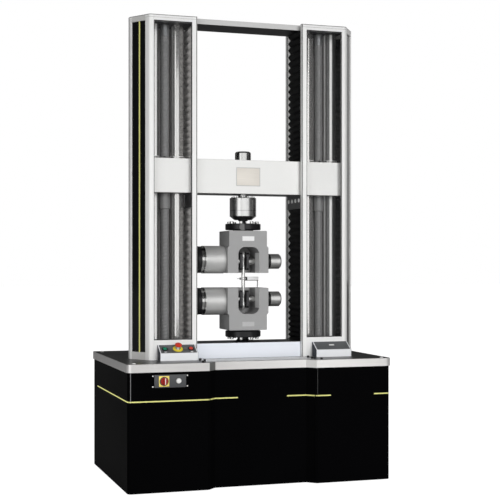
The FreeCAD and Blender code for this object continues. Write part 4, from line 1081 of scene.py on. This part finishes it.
def build_crosshead_top(side, name):
    top = HEAD_HIGH.z
    for place, x in GUIDES_X.items():
        ring(f"{name}_{place}_bush_rim", (side * x, FRAME_Y, top), UP, *BUSH_RIM, bush_bright, HEAD_BODY)
    places = ring_places(side * SCREW_X, top, *NUT_RING)
    screws(name + "_nut_screws", places, UP, *NUT_SCREW, black_oxide, HEAD_BODY)


for side, name in SIDE_NAMES.items():
    build_crosshead_top(side, name)

# Round grey boss on the front of the upper flange
BOSS_X = -0.034
BOSS_RADIUS = 0.0200
BOSS_DEPTH = 0.0030
BOSS_RIM = 0.001
BOSS_ROOT = -0.004


def build_flange_boss():
    low, high = box("upper_grip_flange")
    boss_y = FRAME_Y - math.sqrt(((high.x - low.x) / 2) ** 2 - BOSS_X ** 2)
    profile = [(0, BOSS_ROOT), (BOSS_RADIUS * 0.92, BOSS_ROOT), (BOSS_RADIUS, 0.0),
               (BOSS_RADIUS, BOSS_DEPTH - BOSS_RIM), (BOSS_RADIUS - BOSS_RIM, BOSS_DEPTH), (0, BOSS_DEPTH)]
    place = (BOSS_X, boss_y, (low.z + high.z) / 2)
    revolved("upper_flange_boss", profile, place, OUTWARD_FRONT, boss_grey, HEAD_BODY, 40)


build_flange_boss()

# Painted highlight: a light gleam down the cabinet's left front corner
GLEAM_WIDTH = 0.0030
GLEAM_DEPTH = 0.0004
GLEAM_HEIGHT = 0.165
GLEAM_ANGLE = math.radians(247)


def build_corner_gleam():
    way = polar(1, GLEAM_ANGLE).xy
    across = Vector((-way.y, way.x)) * (GLEAM_WIDTH / 2)
    centre = Vector((CABINET_LOW.x + CORNER_RADIUS, FRONT_FACE + CORNER_RADIUS))
    outer = centre + way * (CORNER_RADIUS + GLEAM_DEPTH)
    inner = centre + way * (CORNER_RADIUS - GLEAM_DEPTH)
    top = FRONT_HIGH.z - 0.001
    shape = bmesh.new()
    upright(shape, [outer - across, outer + across, inner + across, inner - across], top - GLEAM_HEIGHT, top)
    mesh_object("corner_painted_highlight", shape, corner_painted_highlight, FRAME_BODY, 30, True)


build_corner_gleam()

# Dark strips behind the front seams, and a painted highlight, a faint gleam, on the edge of the right one
SEAM_BACK_HALF = 0.012
SEAM_BACK_DEPTH = (0.0035, 0.0050)
SEAM_BACK_END = 0.003
SEAM_GLEAM_WIDTH = 0.0018


def build_seam_backs():
    low, high = FRONT_LOW.z + SEAM_BACK_END, FRONT_HIGH.z - SEAM_BACK_END
    y_low, y_high = FRONT_FACE + SEAM_BACK_DEPTH[0], FRONT_FACE + SEAM_BACK_DEPTH[1]
    boxes = [((side * SEAM_X - SEAM_BACK_HALF, y_low, low), (side * SEAM_X + SEAM_BACK_HALF, y_high, high))
             for side in SIDES]
    plates("seam_backs", boxes, black_gloss)
    edge = SEAM_X + SEAM_HALF
    low = (edge, FRONT_FACE - GLEAM_DEPTH, FRONT_HIGH.z - GLEAM_HEIGHT)
    high = (edge + SEAM_GLEAM_WIDTH, FRONT_FACE + GLEAM_DEPTH, FRONT_HIGH.z - 0.001)
    plates("seam_painted_highlight", [(low, high)], seam_painted_highlight)


build_seam_backs()

# Studio: pale floor, white surroundings for the camera and the mirrors, and broad soft lamps.
# A sun lists the direction it comes from, its strength and its spread in degrees.
# A box lamp lists its place, its target, its width and height, and its power.
SUNS = {"key": ((0.14, -0.95, 0.28), 1.6, 20), "back_fill": ((-0.25, 0.95, 0.12), 0.9, 40)}
BOX_LAMPS = {"front_box": ((-0.92, -6.0, 2.0), (-0.92, 0, 1.4), (5.35, 2.8), 66),
             "left_box": ((-3.3, -2.65, 1.75), (-2.2, 0, 1.75), (2.4, 3.2), 40),
             "right_box": ((1.28, -2.65, 1.75), (1.28, 0, 1.75), (0.85, 3.2), 12)}
FLOOR_LIFT = 0.95
FLOOR_IN_MIRRORS = 0.04
FLOOR_REACH = 60.0
FLOOR_Z = -0.0005
ROOM_BACK = (0.35, 0.85)
ROOM_RIGHT = (0.50, 0.75)
ROOM_DIM = 0.07
WORLD_LIGHT = 0.10
FOCAL_PIXELS = 1155.6
PICTURE_PIXELS = 500.0
SENSOR = 36.0
HORIZON_ROW = 265.57
CAMERA_PLACE = (-2.0729, -6.72975, 1.2589)
CAMERA_TURN = -17.758


def in_scene(name, data):
    made = bpy.data.objects.new(name, data)
    bpy.context.scene.collection.objects.link(made)
    return made


def build_lamps():
    for name, (way, strength, spread) in SUNS.items():
        data = bpy.data.lights.new(name, "SUN")
        data.energy = strength
        data.angle = math.radians(spread)
        lamp = in_scene(name, data)
        lamp.rotation_euler = Vector(way).to_track_quat("Z", "Y").to_euler()
        lamp.visible_glossy = False
    for name, (place, target, size, power) in BOX_LAMPS.items():
        data = bpy.data.lights.new(name, "AREA")
        data.shape = "RECTANGLE"
        data.size, data.size_y = size
        data.energy = power
        lamp = in_scene(name, data)
        lamp.location = place
        lamp.rotation_euler = (Vector(target) - Vector(place)).to_track_quat("-Z", "Y").to_euler()


def floor_finish():
    """Pale matt floor. The camera sees it lifted towards white, and it keeps its shadow."""
    material = finish("studio_floor", 0.50, 0.8, 0.0, 0.01, 1, fine=40, bump=0.02, Specular_IOR_Level=0.0)
    tree = material.node_tree
    shader = tree.nodes["Principled BSDF"]
    shader.inputs["Emission Color"].default_value = (1, 1, 1, 1)
    path = add_node(tree, "ShaderNodeLightPath").outputs
    lift = math_of(tree, "MULTIPLY", path["Is Camera Ray"], FLOOR_LIFT)
    glow = math_of(tree, "MULTIPLY_ADD", path["Is Glossy Ray"], FLOOR_IN_MIRRORS, lift)
    tree.links.new(glow, shader.inputs["Emission Strength"])
    return material


def build_stage():
    shape = bmesh.new()
    corners = ((-1, -1), (1, -1), (1, 1), (-1, 1))
    shape.faces.new([shape.verts.new((x * FLOOR_REACH, y * FLOOR_REACH, FLOOR_Z)) for x, y in corners])
    floor = mesh_object("studio_floor", shape, floor_finish(), None)


def build_world():
    """White to the camera and through glass. Mirrors see it dim, and white only behind the right side."""
    world = bpy.data.worlds.new("white_studio")
    bpy.context.scene.world = world
    world.use_nodes = True
    tree = world.node_tree
    tree.nodes.clear()
    axes = parts_of(tree, add_node(tree, "ShaderNodeTexCoord").outputs["Generated"])
    back = ranged(tree, axes["Y"], 0.0, 1.0, *ROOM_BACK)
    right = ranged(tree, axes["X"], 0.0, 1.0, *ROOM_RIGHT)
    room = ranged(tree, math_of(tree, "MULTIPLY", back, right), ROOM_DIM, 1.0, 0.0, 1.0)
    path = add_node(tree, "ShaderNodeLightPath").outputs
    mirrored = mix_of(tree, "FLOAT", path["Is Glossy Ray"], WORLD_LIGHT, room)
    either = math_of(tree, "MAXIMUM", path["Is Camera Ray"], path["Is Transmission Ray"])
    seen = mix_of(tree, "FLOAT", either, mirrored, 1.0)
    sky = add_node(tree, "ShaderNodeBackground", [("Color", (1, 1, 1, 1)), ("Strength", seen)])
    add_node(tree, "ShaderNodeOutputWorld", [("Surface", sky.outputs[0])])


def build_camera():
    data = bpy.data.cameras.new("photo_camera")
    data.sensor_width = SENSOR
    data.sensor_height = SENSOR
    data.sensor_fit = "HORIZONTAL"
    data.lens = FOCAL_PIXELS / PICTURE_PIXELS * SENSOR
    data.shift_y = (HORIZON_ROW - PICTURE_PIXELS / 2) / PICTURE_PIXELS
    camera = in_scene("photo_camera", data)
    camera.location = CAMERA_PLACE
    camera.rotation_euler = (math.radians(90), 0, math.radians(CAMERA_TURN))
    bpy.context.scene.camera = camera


build_stage()
build_world()
build_camera()
build_lamps()

scene = bpy.context.scene
scene.view_settings.view_transform = "Standard"
